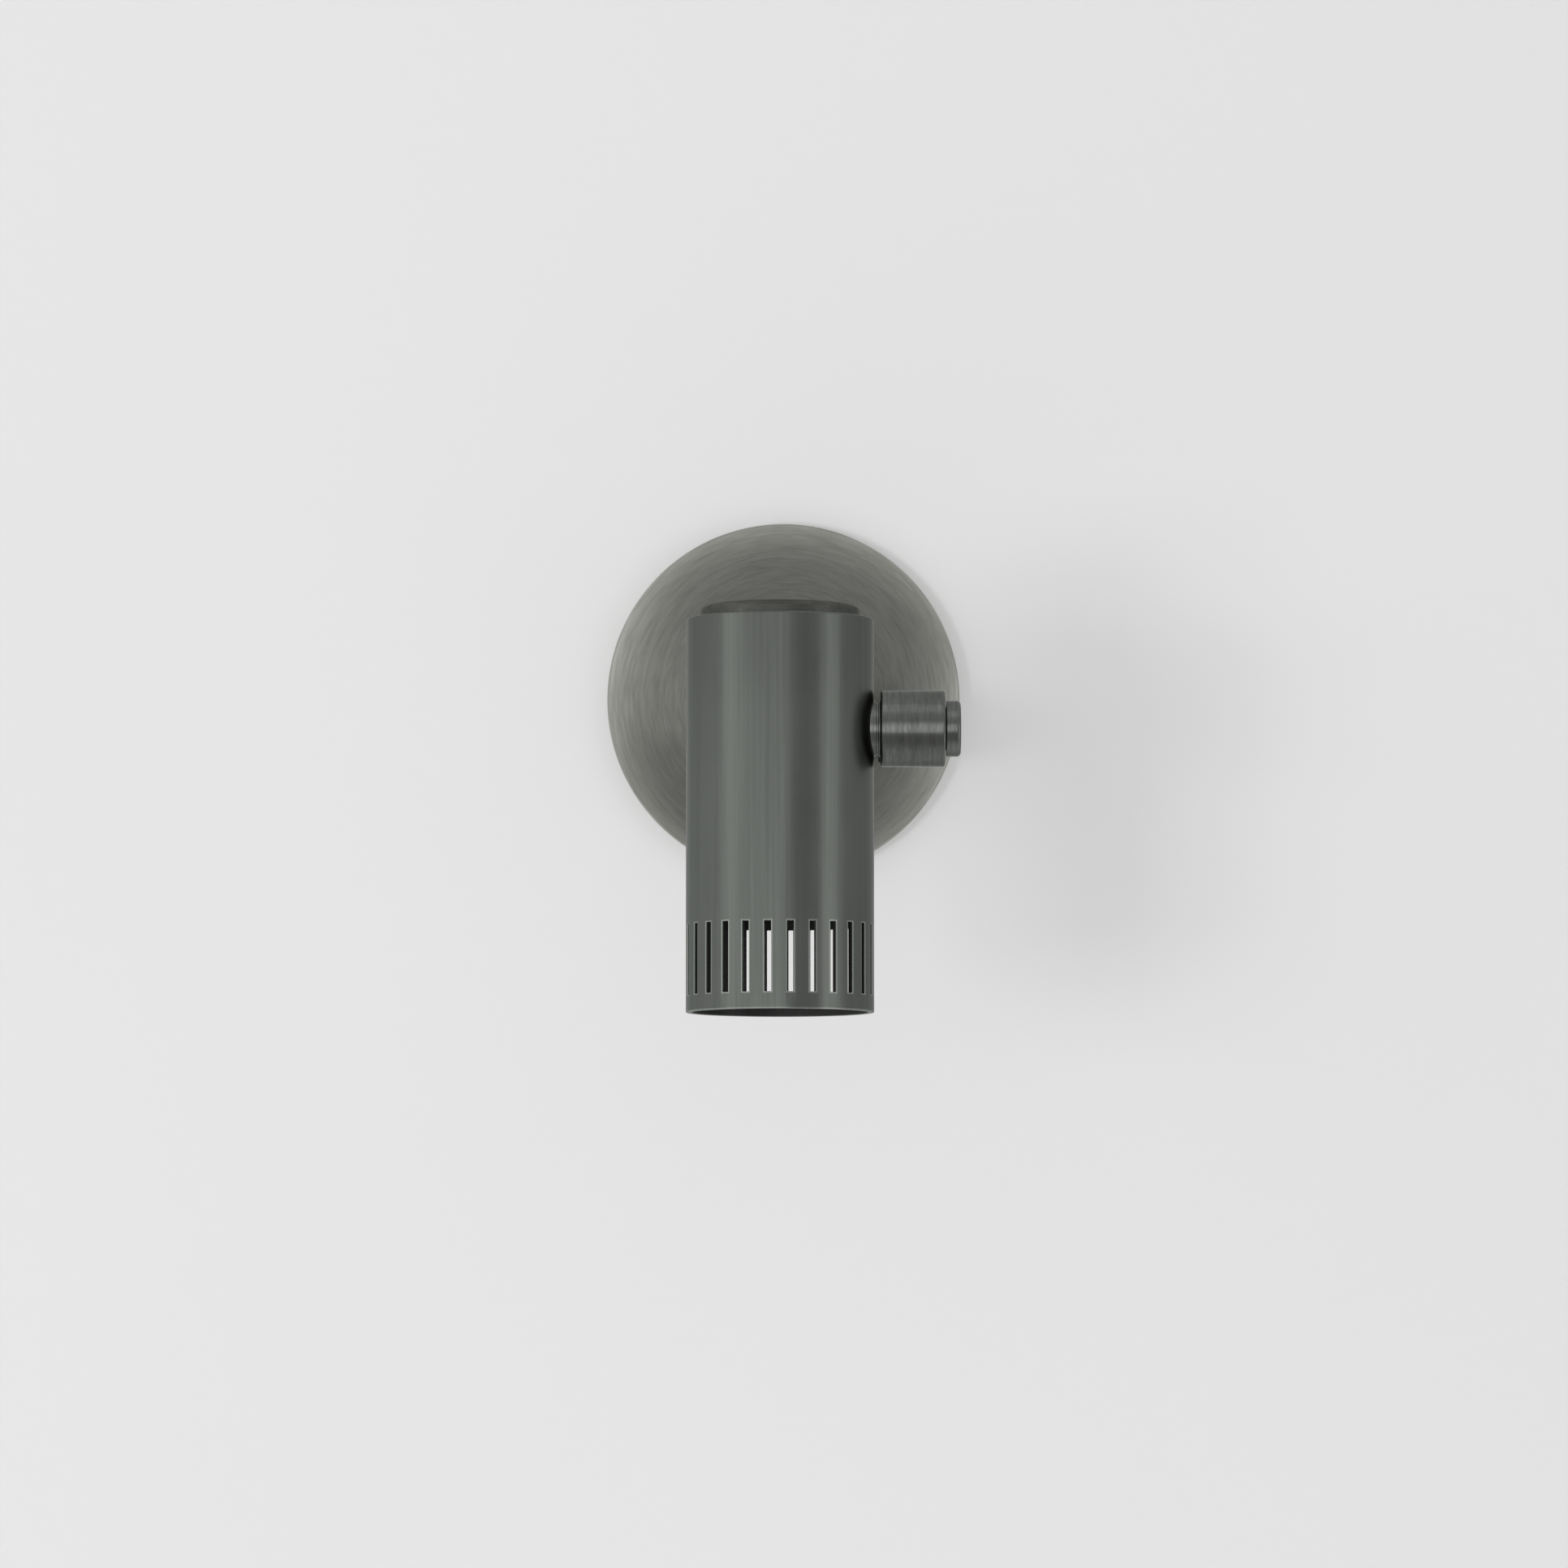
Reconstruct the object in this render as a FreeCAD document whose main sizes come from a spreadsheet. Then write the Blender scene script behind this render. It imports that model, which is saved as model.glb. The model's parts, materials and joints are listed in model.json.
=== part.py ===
import FreeCAD, Part
import math
import os
import re
import Sketcher

# Swing arm wall lamp. Millimetres and degrees.
# The origin is the centre of the wall plate's back, on the wall.
# X runs to the right, Z up, and the lamp stands out from the wall towards -Y.

SIZES = {
    # Wall plate, a spun dome with a short straight lip
    "canopy_diameter": 127.0,
    "canopy_lip": 6.0,
    "canopy_rise": 18.0,
    "canopy_wall": 1.5,
    "canopy_edge_round": 1.2,
    # Crossbar on the wall box, with an ear at each end
    "crossbar_width": 22.0,
    "crossbar_thickness": 2.0,
    "crossbar_ear_height": 5.0,
    "crossbar_clearance": 0.3,
    "box_screw_spacing": 79.4,
    "box_slot_length": 14.0,
    "box_slot_width": 4.6,
    # Grub screws through the lip into the ears
    "set_screw_diameter": 3.0,
    "set_screw_height": 3.0,
    "set_screw_length": 4.2,
    "set_screw_play": 0.1,
    "set_screw_socket": 1.5,
    "set_screw_socket_depth": 1.6,
    # Terminal block and earth screw on the crossbar
    "block_width": 17.0,
    "block_length": 22.0,
    "block_height": 11.0,
    "block_round": 0.8,
    "block_port_diameter": 3.4,
    "block_port_height": 5.0,
    "block_port_pitch": 12.0,
    "terminal_screw_diameter": 3.0,
    "terminal_screw_sink": 0.6,
    "terminal_screw_play": 0.1,
    "block_screw_diameter": 3.0,
    "block_screw_head": 5.4,
    "block_screw_head_height": 2.0,
    "ground_drop": 24.0,
    "ground_screw_diameter": 4.0,
    "ground_head_flats": 7.0,
    "ground_head_height": 2.8,
    "ground_lug_diameter": 10.0,
    "ground_lug_thickness": 0.8,
    "ground_barrel_diameter": 3.0,
    "ground_barrel_length": 9.0,
    # Place of the arm on the wall plate
    "arm_inset": 19.8,
    "arm_drop": 11.5,
    "pin_reach": 34.0,
    "arm_reach": 141.0,
    # Fork, tongue and pin that let the arm swing
    "knuckle_diameter": 19.5,
    "ear_thickness": 5.0,
    "tongue_height": 10.0,
    "tongue_bore": 14.0,
    "tongue_window": 5.0,
    "swing_bush_flange": 0.8,
    "swing_bush_spigot": 2.2,
    "swing_bush_diameter": 18.0,
    "swing_gap": 0.1,
    "pin_diameter": 5.0,
    "pin_head_diameter": 9.0,
    "pin_head_height": 2.2,
    "pin_play": 0.05,
    "pin_socket": 3.0,
    "pin_socket_depth": 1.4,
    "knuckle_clearance": 0.75,
    "fork_web_gap": 1.2,
    # Stud, saddle, washer and nut that hold the fork to the wall plate
    "stud_diameter": 10.0,
    "lead_bore": 6.0,
    "stud_room": 4.2,
    "stud_overhang": 0.5,
    "foot_nut_height": 3.5,
    "foot_nut_flats": 14.0,
    "foot_washer_thickness": 0.8,
    "foot_washer_diameter": 15.0,
    "foot_saddle_diameter": 17.0,
    "thread_play": 0.1,
    # Arm tube and its two plugs
    "arm_diameter": 19.0,
    "arm_wall": 1.5,
    "stem_diameter": 10.5,
    "collar_length": 3.0,
    "spigot_length": 14.0,
    "spigot_play": 0.05,
    "grub_diameter": 3.0,
    "grub_length": 4.0,
    "grub_socket": 1.5,
    "grub_socket_depth": 1.6,
    "grub_place": 7.0,
    # Tilting knuckle at the arm's end
    "barrel_diameter": 26.0,
    "barrel_length": 21.8,
    "barrel_chamfer": 0.7,
    "barrel_bore": 12.5,
    "barrel_bush_diameter": 15.0,
    "barrel_bush_length": 6.0,
    "spindle_diameter": 10.0,
    "spindle_bore": 6.4,
    "spindle_play": 0.05,
    "spindle_window": 7.0,
    "spindle_overhang": 0.7,
    "neck_gap": 2.2,
    "neck_diameter": 19.0,
    "friction_gap": 0.05,
    "end_groove": 0.5,
    "spring_washer_diameter": 15.0,
    "end_cap_diameter": 19.0,
    "end_cap_length": 4.8,
    "end_cap_round": 1.4,
    "end_cap_recess": 16.6,
    "spindle_nut_flats": 14.0,
    "spindle_nut_height": 3.0,
    "shade_saddle_diameter": 17.0,
    "shade_saddle_thickness": 2.6,
    "shade_nut_flats": 14.0,
    "shade_nut_height": 3.5,
    # Shade, with slots near its mouth
    "rest_tilt": 4.4,
    "shade_diameter": 63.5,
    "shade_wall": 2.0,
    "shade_above": 37.0,
    "shade_below": 96.0,
    "shade_edge_round": 0.6,
    "slot_count": 26,
    "slot_turn": 6.4,
    "slot_width": 2.3,
    "slot_length": 23.7,
    "slot_rise": 5.7,
    # Cap on the shade's top, with the stud that carries the lamp holder
    "top_cap_diameter": 54.3,
    "top_cap_height": 4.4,
    "top_cap_round": 1.8,
    "cap_stud_diameter": 8.0,
    "cap_stud_sink": 2.6,
    "cap_stud_play": 0.1,
    "stud_nut_flats": 12.0,
    "stud_nut_height": 3.0,
    "holder_plate_diameter": 34.0,
    "holder_plate_thickness": 1.5,
    "holder_screw_pitch": 20.0,
    "holder_screw_diameter": 2.5,
    "holder_screw_length": 5.0,
    "holder_screw_head": 4.6,
    "holder_screw_head_height": 1.6,
    # Lamp holder, lamp and the ring that centres the lamp in the shade
    "holder_top": 8.0,
    "holder_height": 21.0,
    "holder_diameter": 28.0,
    "holder_recess_diameter": 15.0,
    "holder_recess_depth": 4.0,
    "lamp_pin_pitch": 10.0,
    "lamp_pin_diameter": 2.6,
    "lamp_pin_foot": 4.6,
    "lamp_pin_foot_height": 2.0,
    "lamp_pin_length": 7.0,
    "lamp_pin_play": 0.2,
    "lamp_seat_gap": 0.1,
    "lamp_length": 49.0,
    "lamp_neck_diameter": 27.0,
    "lamp_neck_length": 17.0,
    "lamp_gap": 4.75,
    "lamp_rim_height": 5.0,
    "lamp_wall": 1.4,
    "lens_thickness": 2.2,
    "lens_sink": 0.8,
    "ring_thickness": 1.2,
    "ring_wall": 1.0,
    "ring_height": 7.0,
    "ring_lip": 2.0,
    # Insulated leads
    "lead_diameter": 1.7,
    "lead_pitch": 1.9,
    "lead_bend": 2.4,
    "lead_wall_gap": 2.2,
    "lead_tail": 6.0,
    # One overrun for every cut
    "overrun": 1.0,
}

DOC = FreeCAD.newDocument("swing_arm_wall_lamp")
SHEET = DOC.addObject("Spreadsheet::Sheet", "Sizes")
for row, (word, number) in enumerate(SIZES.items(), start=1):
    SHEET.set("A%d" % row, word)
    SHEET.set("B%d" % row, str(number))
    SHEET.setAlias("B%d" % row, word)
DOC.recompute()

X_AXIS = FreeCAD.Vector(1, 0, 0)
Y_AXIS = FreeCAD.Vector(0, 1, 0)
Z_AXIS = FreeCAD.Vector(0, 0, 1)
UPRIGHT = FreeCAD.Rotation()
TO_FRONT = FreeCAD.Rotation(X_AXIS, 90)
TO_BACK = FreeCAD.Rotation(X_AXIS, -90)
TO_RIGHT = FreeCAD.Rotation(Y_AXIS, 90)
TO_BELOW = FreeCAD.Rotation(X_AXIS, 180)
TILTED = FreeCAD.Rotation(X_AXIS, -SHEET.rest_tilt)

# Places worked out from the sizes

DOME_RADIUS = "((canopy_diameter ^ 2 / 4 + canopy_rise ^ 2) / (2 * canopy_rise))"
DOME_CENTRE = f"({DOME_RADIUS} - canopy_lip - canopy_rise)"
EAR_OUTSIDE = "(canopy_diameter / 2 - canopy_wall - crossbar_clearance)"
ARM_X = "(canopy_diameter / 2 - arm_inset)"
SWING_PLACE = (ARM_X, "-pin_reach", "-arm_drop")
TILT_PLACE = (ARM_X, "-(pin_reach + arm_reach)", "-arm_drop")
FORK_GAP = "(tongue_height + 2 * (swing_bush_flange + swing_gap))"
FORK_HEIGHT = f"({FORK_GAP} + 2 * ear_thickness)"
FOOT_NUT_BACK = "(stud_room + stud_overhang)"
FOOT_WASHER_BACK = f"({FOOT_NUT_BACK} + foot_nut_height)"
FOOT_SADDLE_BACK = f"({FOOT_WASHER_BACK} + foot_washer_thickness)"
SHANK_FRONT = "(pin_reach - knuckle_diameter / 2 - fork_web_gap)"
COLLAR_BACK = "(pin_reach + knuckle_diameter / 2 + knuckle_clearance)"
TUBE_BACK = f"({COLLAR_BACK} + collar_length)"
TILT_REACH = "(pin_reach + arm_reach)"
TUBE_BORE = "(arm_diameter - 2 * arm_wall)"
SHADE_X = "(-(barrel_length / 2 + neck_gap + shade_diameter / 2))"
SADDLE_FLAT_X = f"({SHADE_X} + shade_diameter / 2 - shade_wall - shade_saddle_thickness)"
SPINDLE_LEFT_X = f"({SADDLE_FLAT_X} - shade_nut_height - spindle_overhang)"
CAP_LEFT_X = "(barrel_length / 2 + end_groove)"
LAMP_DIAMETER = "(shade_diameter - 2 * shade_wall - 2 * lamp_gap)"
HOLDER_BOTTOM = "(holder_top - holder_height)"
LAMP_TOP = f"({HOLDER_BOTTOM} - lamp_seat_gap)"
LAMP_FRONT = f"({LAMP_TOP} - lamp_length)"
PLATE_TOP = "(holder_top + holder_plate_thickness)"

# How far an edge may be from where it is looked for, as a share of its diameter
EDGE_MATCH_SHARE = 0.001
NODES = []


def named(text):
    """The same formula with each size looked up in the sheet."""
    return re.sub(r"[a-z_]+", lambda word: "Sizes." + word[0] if word[0] in SIZES else word[0], text)


def worked_out(text):
    """The number that a formula of named sizes gives."""
    return float(SHEET.evalExpression(named(text)))


def place(piece, at, turn=UPRIGHT):
    """Put a piece at a place given by three formulas."""
    piece.Placement = FreeCAD.Placement(FreeCAD.Vector(), turn)
    for axis, text in zip("xyz", at):
        piece.setExpression("Placement.Base." + axis, named(text))
    return piece


def moved(at, x="0", y="0", z="0"):
    """A place shifted by three formulas."""
    return tuple(f"{base} + ({step})" for base, step in zip(at, (x, y, z)))


def primitive(kind, name, sizes, at, turn):
    piece = DOC.addObject(kind, name)
    for quality, text in sizes.items():
        piece.setExpression(quality, named(text))
    return place(piece, at, turn)


def rod(name, diameter, length, at=("0", "0", "0"), turn=UPRIGHT):
    """A cylinder that starts at its place and runs along its own Z."""
    sizes = {"Radius": f"({diameter}) / 2", "Height": length}
    return primitive("Part::Cylinder", name, sizes, at, turn)


def ball(name, radius, at):
    return primitive("Part::Sphere", name, {"Radius": radius}, at, UPRIGHT)


def block(name, size, at):
    """A box with one corner at its place."""
    sizes = dict(zip(("Length", "Width", "Height"), size))
    return primitive("Part::Box", name, sizes, at, UPRIGHT)


def hexagon(name, flats, length, at=("0", "0", "0"), turn=UPRIGHT):
    """A six sided bar, measured across its flats."""
    sizes = {"Circumradius": f"({flats}) / sqrt(3)", "Height": length}
    piece = primitive("Part::Prism", name, sizes, at, turn)
    piece.Polygon = 6
    return piece


def fused(name, pieces):
    piece = DOC.addObject("Part::MultiFuse", name)
    piece.Shapes = pieces
    piece.Refine = True
    return piece


def shared(name, base, tool):
    piece = DOC.addObject("Part::Common", name)
    piece.Base = base
    piece.Tool = tool
    return piece


def cut(name, base, tools):
    piece = DOC.addObject("Part::Cut", name)
    piece.Base = base
    piece.Tool = tools[0] if len(tools) == 1 else fused(name + "_tools", tools)
    return piece


def group(name, pieces):
    """Like pieces that stay separate solids in one node."""
    piece = DOC.addObject("Part::Compound", name)
    piece.Links = pieces
    return piece


def node(name, piece):
    """Give a finished piece its own name and list it for export."""
    piece.Label = name
    NODES.append(piece)
    return piece


def round_edges(shape, diameter, level, axis):
    """Numbers of the circular edges of one diameter at one level along an axis."""
    near = EDGE_MATCH_SHARE * diameter
    found = []
    for number, edge in enumerate(shape.Edges, start=1):
        if edge.Curve.TypeId != "Part::GeomCircle":
            continue
        centre = edge.Curve.Center
        if abs(2 * edge.Curve.Radius - diameter) < near and abs(centre.dot(axis) - level) < near:
            found.append(number)
    return found


def softened(kind, name, base, amount, rings, axis):
    """Round or chamfer the circular edges named by pairs of diameter and level."""
    DOC.recompute()
    size = worked_out(amount)
    piece = DOC.addObject(kind, name)
    piece.Base = base
    picked = []
    for diameter, level in rings:
        picked += round_edges(base.Shape, worked_out(diameter), worked_out(level), axis)
    piece.Edges = [(number, size, size) for number in picked]
    return piece


def origin_part(body, role):
    """One of a body's own origin planes or axes."""
    return [item for item in body.Origin.OriginFeatures if item.Role == role][0]


def outlined(body, name, plane, outline):
    """A closed sketch whose corners are each held by two formulas."""
    sketch = body.newObject("Sketcher::SketchObject", name)
    sketch.AttachmentSupport = [(origin_part(body, plane), "")]
    sketch.MapMode = "FlatFace"
    corners = [FreeCAD.Vector(worked_out(across), worked_out(up)) for across, up in outline]
    count = len(corners)
    for number in range(count):
        sketch.addGeometry(Part.LineSegment(corners[number], corners[(number + 1) % count]), False)
    for number in range(count):
        sketch.addConstraint(Sketcher.Constraint("Coincident", number, 2, (number + 1) % count, 1))
    for number, formulas in enumerate(outline):
        places = (("DistanceX", corners[number].x), ("DistanceY", corners[number].y))
        for (kind, start), formula in zip(places, formulas):
            held = sketch.addConstraint(Sketcher.Constraint(kind, -1, 1, number, 1, start))
            sketch.setExpression("Constraints[%d]" % held, named(formula))
    return sketch


def turned_body(name, outline):
    """A body turned about its own Z from an outline of radius and height."""
    body = DOC.addObject("PartDesign::Body", name)
    sketch = outlined(body, name + "_outline", "XZ_Plane", outline)
    turn = body.newObject("PartDesign::Revolution", name + "_turned")
    turn.Profile = sketch
    turn.ReferenceAxis = (sketch, ["V_Axis"])
    turn.Angle = 360
    body.Tip = turn
    DOC.recompute()
    return body


def round_body_edges(body, amount, rings):
    """Fillet the circular edges of a turned body."""
    base = body.Tip
    picked = []
    for diameter, level in rings:
        picked += round_edges(base.Shape, worked_out(diameter), worked_out(level), Z_AXIS)
    fillet = body.newObject("PartDesign::Fillet", body.Name + "_round")
    fillet.Base = (base, ["Edge%d" % number for number in picked])
    fillet.setExpression("Radius", named(amount))
    body.Tip = fillet
    DOC.recompute()


def bent_rod(name, points, diameter, bend):
    """A round rod along straight runs that are joined by tangent arcs."""
    edges = []
    start = points[0]
    for before, corner, after in zip(points, points[1:], points[2:]):
        back = (before - corner).normalize()
        ahead = (after - corner).normalize()
        turn = math.pi - back.getAngle(ahead)
        reach = bend * math.tan(turn / 2)
        entry = corner + back * reach
        leave = corner + ahead * reach
        inward = (back + ahead).normalize()
        centre = corner + inward * (bend / math.cos(turn / 2))
        middle = centre - inward * bend
        edges.append(Part.LineSegment(start, entry).toShape())
        edges.append(Part.Arc(entry, middle, leave).toShape())
        start = leave
    edges.append(Part.LineSegment(start, points[-1]).toShape())
    path = Part.Wire(edges)
    section = Part.Wire(Part.makeCircle(diameter / 2, points[0], points[1] - points[0]))
    piece = DOC.addObject("Part::Feature", name)
    piece.Shape = path.makePipeShell([section], True, False)
    return piece


def spot(x, y, z):
    """A point from three formulas."""
    return FreeCAD.Vector(worked_out(x), worked_out(y), worked_out(z))


# Wall plate and what it is hung on

def dome_space(name, inset):
    """The solid dome, or the same form set in by a wall."""
    whole = ball(name + "_ball", f"{DOME_RADIUS} - {inset}", ("0", DOME_CENTRE, "0"))
    drum = rod(name + "_drum", f"canopy_diameter - 2 * {inset}", "canopy_lip + canopy_rise",
               turn=TO_FRONT)
    return shared(name, whole, drum)


def canopy_dome():
    outside = softened("Part::Fillet", "canopy_outside", dome_space("canopy_blank", "0"),
                       "canopy_edge_round", [("canopy_diameter", "-canopy_lip")], Y_AXIS)
    stud_hole = rod("canopy_stud_hole", "stud_diameter + 2 * thread_play", "pin_reach",
                    (ARM_X, "0", "-arm_drop"), TO_FRONT)
    screw_hole = rod("canopy_screw_hole", "set_screw_diameter + 2 * set_screw_play",
                     "canopy_diameter + 2 * overrun",
                     ("0", "-set_screw_height", "-canopy_diameter / 2 - overrun"))
    hollow = dome_space("canopy_hollow", "canopy_wall")
    node("canopy_dome", cut("canopy_shell", outside, [hollow, stud_hole, screw_hole]))


def crossbar():
    """Flat strip up and down the wall box, bent out at both ends."""
    body = DOC.addObject("PartDesign::Body", "crossbar_body")
    front = "-crossbar_thickness"
    step = f"{EAR_OUTSIDE} - crossbar_thickness"
    outline = [("0", f"-{EAR_OUTSIDE}"), ("0", EAR_OUTSIDE),
               ("-crossbar_ear_height", EAR_OUTSIDE), ("-crossbar_ear_height", step),
               (front, step), (front, f"-({step})"),
               ("-crossbar_ear_height", f"-({step})"), ("-crossbar_ear_height", f"-{EAR_OUTSIDE}")]
    strip = body.newObject("PartDesign::Pad", "crossbar_strip")
    strip.Profile = outlined(body, "crossbar_side", "YZ_Plane", outline)
    strip.Midplane = True
    strip.setExpression("Length", named("crossbar_width"))
    body.Tip = strip
    DOC.recompute()
    lip = rod("crossbar_lip", f"2 * {EAR_OUTSIDE}", "canopy_lip", turn=TO_FRONT)
    trimmed = shared("crossbar_trimmed", body, lip)
    holes = []
    for label, sign in (("upper", ""), ("lower", "-")):
        middle = f"{sign}box_screw_spacing / 2"
        half = "(box_slot_length - box_slot_width) / 2"
        deep = "crossbar_thickness + 2 * overrun"
        ends = [rod(f"box_slot_{label}_{end}", "box_slot_width", deep,
                    ("0", "overrun", f"{middle} {end_sign} {half}"), TO_FRONT)
                for end, end_sign in (("top", "+"), ("bottom", "-"))]
        waist = block(f"box_slot_{label}_waist",
                      ("box_slot_width", deep, "box_slot_length - box_slot_width"),
                      ("-box_slot_width / 2", "-crossbar_thickness - overrun",
                       f"{middle} - {half}"))
        holes.append(fused(f"box_slot_{label}", ends + [waist]))
    holes.append(rod("ear_screw_holes", "set_screw_diameter", "canopy_diameter",
                     ("0", "-set_screw_height", "-canopy_diameter / 2")))
    holes.append(rod("block_screw_hole", "block_screw_diameter",
                     "crossbar_thickness + 2 * overrun", ("0", "overrun", "0"), TO_FRONT))
    holes.append(rod("ground_screw_hole", "ground_screw_diameter",
                     "crossbar_thickness + 2 * overrun", ("0", "overrun", "-ground_drop"), TO_FRONT))
    node("mounting_crossbar", cut("crossbar_cut", trimmed, holes))


def canopy_set_screws():
    """Two grub screws, one at the top and one at the bottom of the lip."""
    screws = []
    for label, sign, turn in (("top", "", TO_BELOW), ("bottom", "-", UPRIGHT)):
        rim = f"{sign}(canopy_diameter / 2 - set_screw_play)"
        at = ("0", "-set_screw_height", rim)
        shank = rod(f"set_screw_{label}_shank", "set_screw_diameter", "set_screw_length", at, turn)
        socket = hexagon(f"set_screw_{label}_socket", "set_screw_socket",
                         "set_screw_socket_depth", at, turn)
        screws.append(cut(f"set_screw_{label}", shank, [socket]))
    node("canopy_set_screws", group("set_screw_pair", screws))


def port_places():
    return (("upper", "block_port_pitch / 2"), ("lower", "-block_port_pitch / 2"))


def terminal_block():
    front = "crossbar_thickness + block_height"
    body = block("block_blank", ("block_width", "block_height", "block_length"),
                 ("-block_width / 2", f"-({front})", "-block_length / 2"))
    DOC.recompute()
    eased = DOC.addObject("Part::Fillet", "block_eased")
    eased.Base = body
    size = SHEET.block_round
    corner = worked_out("block_width / 2")
    eased.Edges = [(number, size, size) for number, edge in enumerate(body.Shape.Edges, start=1)
                   if abs(abs(edge.CenterOfMass.x) - corner) < size
                   and edge.CenterOfMass.y < -worked_out(front) + size]
    holes = [rod("block_middle_hole", "block_screw_diameter + 2 * terminal_screw_play",
                 "block_height + 2 * overrun", ("0", "-crossbar_thickness + overrun", "0"), TO_FRONT)]
    holes.append(rod("block_middle_sink", "block_screw_head + 2 * terminal_screw_play",
                     "block_height", ("0", "-(crossbar_thickness + block_height / 2)", "0"),
                     TO_FRONT))
    for label, height in port_places():
        holes.append(rod(f"block_port_{label}", "block_port_diameter",
                         "block_width + 2 * overrun",
                         ("-block_width / 2 - overrun",
                          "-(crossbar_thickness + block_port_height)", height), TO_RIGHT))
        holes.append(rod(f"block_screw_well_{label}",
                         "terminal_screw_diameter + 2 * terminal_screw_play",
                         "block_height",
                         ("block_width / 4", "-(crossbar_thickness + block_port_height)", height),
                         TO_FRONT))
    node("terminal_block", cut("block_cut", eased, holes))


def terminal_screws():
    """The two clamping screws, each on the lead in its port."""
    screws = []
    tip = "crossbar_thickness + block_port_height + lead_diameter / 2"
    for label, height in port_places():
        at = ("block_width / 4", f"-({tip})", height)
        length = "block_height - block_port_height - lead_diameter / 2 - terminal_screw_sink"
        shank = rod(f"terminal_screw_{label}_shank", "terminal_screw_diameter", length, at, TO_FRONT)
        groove = block(f"terminal_screw_{label}_groove",
                       ("terminal_screw_diameter / 5", "terminal_screw_sink",
                        "2 * terminal_screw_diameter"),
                       ("block_width / 4 - terminal_screw_diameter / 10",
                        "-(crossbar_thickness + block_height - terminal_screw_sink)",
                        f"{height} - terminal_screw_diameter"))
        screws.append(cut(f"terminal_screw_{label}", shank, [groove]))
    node("terminal_screws", group("terminal_screw_pair", screws))


def terminal_block_screw():
    seat = "(crossbar_thickness + block_height / 2)"
    shank = rod("block_screw_shank", "block_screw_diameter", seat, turn=TO_FRONT)
    head = rod("block_screw_top", "block_screw_head", "block_screw_head_height",
               ("0", f"-{seat}", "0"), TO_FRONT)
    slit = block("block_screw_slit",
                 ("block_screw_head + overrun", "block_screw_head_height", "block_screw_head / 5"),
                 ("-(block_screw_head + overrun) / 2",
                  f"-({seat} + 3 * block_screw_head_height / 2)", "-block_screw_head / 10"))
    node("terminal_block_screw",
         cut("block_screw", fused("block_screw_blank", [shank, head]), [slit]))


def ground_fixing():
    """Green earth screw with the crimped lug under its head."""
    at = ("0", "-crossbar_thickness", "-ground_drop")
    plate = rod("ground_lug_ring", "ground_lug_diameter", "ground_lug_thickness", at, TO_FRONT)
    crimp = rod("ground_lug_crimp", "ground_barrel_diameter", "ground_barrel_length",
                moved(at, x="ground_lug_diameter / 2 - ground_lug_thickness",
                      y="-ground_barrel_diameter / 2"), TO_RIGHT)
    hole = rod("ground_lug_hole", "ground_screw_diameter + 2 * thread_play",
               "ground_lug_thickness + 2 * overrun", moved(at, y="overrun"), TO_FRONT)
    socket = rod("ground_lug_socket", "lead_diameter", "ground_barrel_length",
                 moved(at, x="ground_lug_diameter / 2 + ground_lug_thickness",
                       y="-ground_barrel_diameter / 2"), TO_RIGHT)
    node("ground_lug", cut("ground_lug_cut", fused("ground_lug_blank", [plate, crimp]),
                           [hole, socket]))
    shank = rod("ground_screw_shank", "ground_screw_diameter",
                "crossbar_thickness + ground_lug_thickness", ("0", "0", "-ground_drop"), TO_FRONT)
    head = hexagon("ground_screw_head", "ground_head_flats", "ground_head_height",
                   moved(at, y="-ground_lug_thickness"), TO_FRONT)
    node("ground_screw", fused("ground_screw_fused", [shank, head]))


def wall_leads():
    """Live, neutral and earth leads from the crossbar into the foot's stud."""
    port = "-(crossbar_thickness + block_port_height)"
    crimp = "-(crossbar_thickness + ground_barrel_diameter / 2)"
    crimp_end = "(ground_lug_diameter / 2 - ground_lug_thickness + ground_barrel_length)"
    starts = (("lead_live", "lead_pitch", "0", "block_width / 2", port, "block_port_pitch / 2"),
              ("lead_neutral", "0", "0", "block_width / 2", port, "-block_port_pitch / 2"),
              ("lead_ground", "-lead_pitch", f"{crimp_end} - lead_tail", crimp_end, crimp,
               "-ground_drop"))
    for name, shift, x, x_out, y, z in starts:
        level = f"-arm_drop + ({shift})"
        points = [spot(x, y, z),
                  spot(f"{x_out} + lead_tail", y, z),
                  spot(f"{ARM_X} - foot_nut_flats", "-lead_wall_gap", level),
                  spot(ARM_X, "-lead_wall_gap", level),
                  spot(ARM_X, f"-{SHANK_FRONT}", level)]
        node(name, bent_rod(name + "_rod", points, SHEET.lead_diameter, SHEET.lead_bend))


# Foot of the arm, fixed to the wall plate

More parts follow.
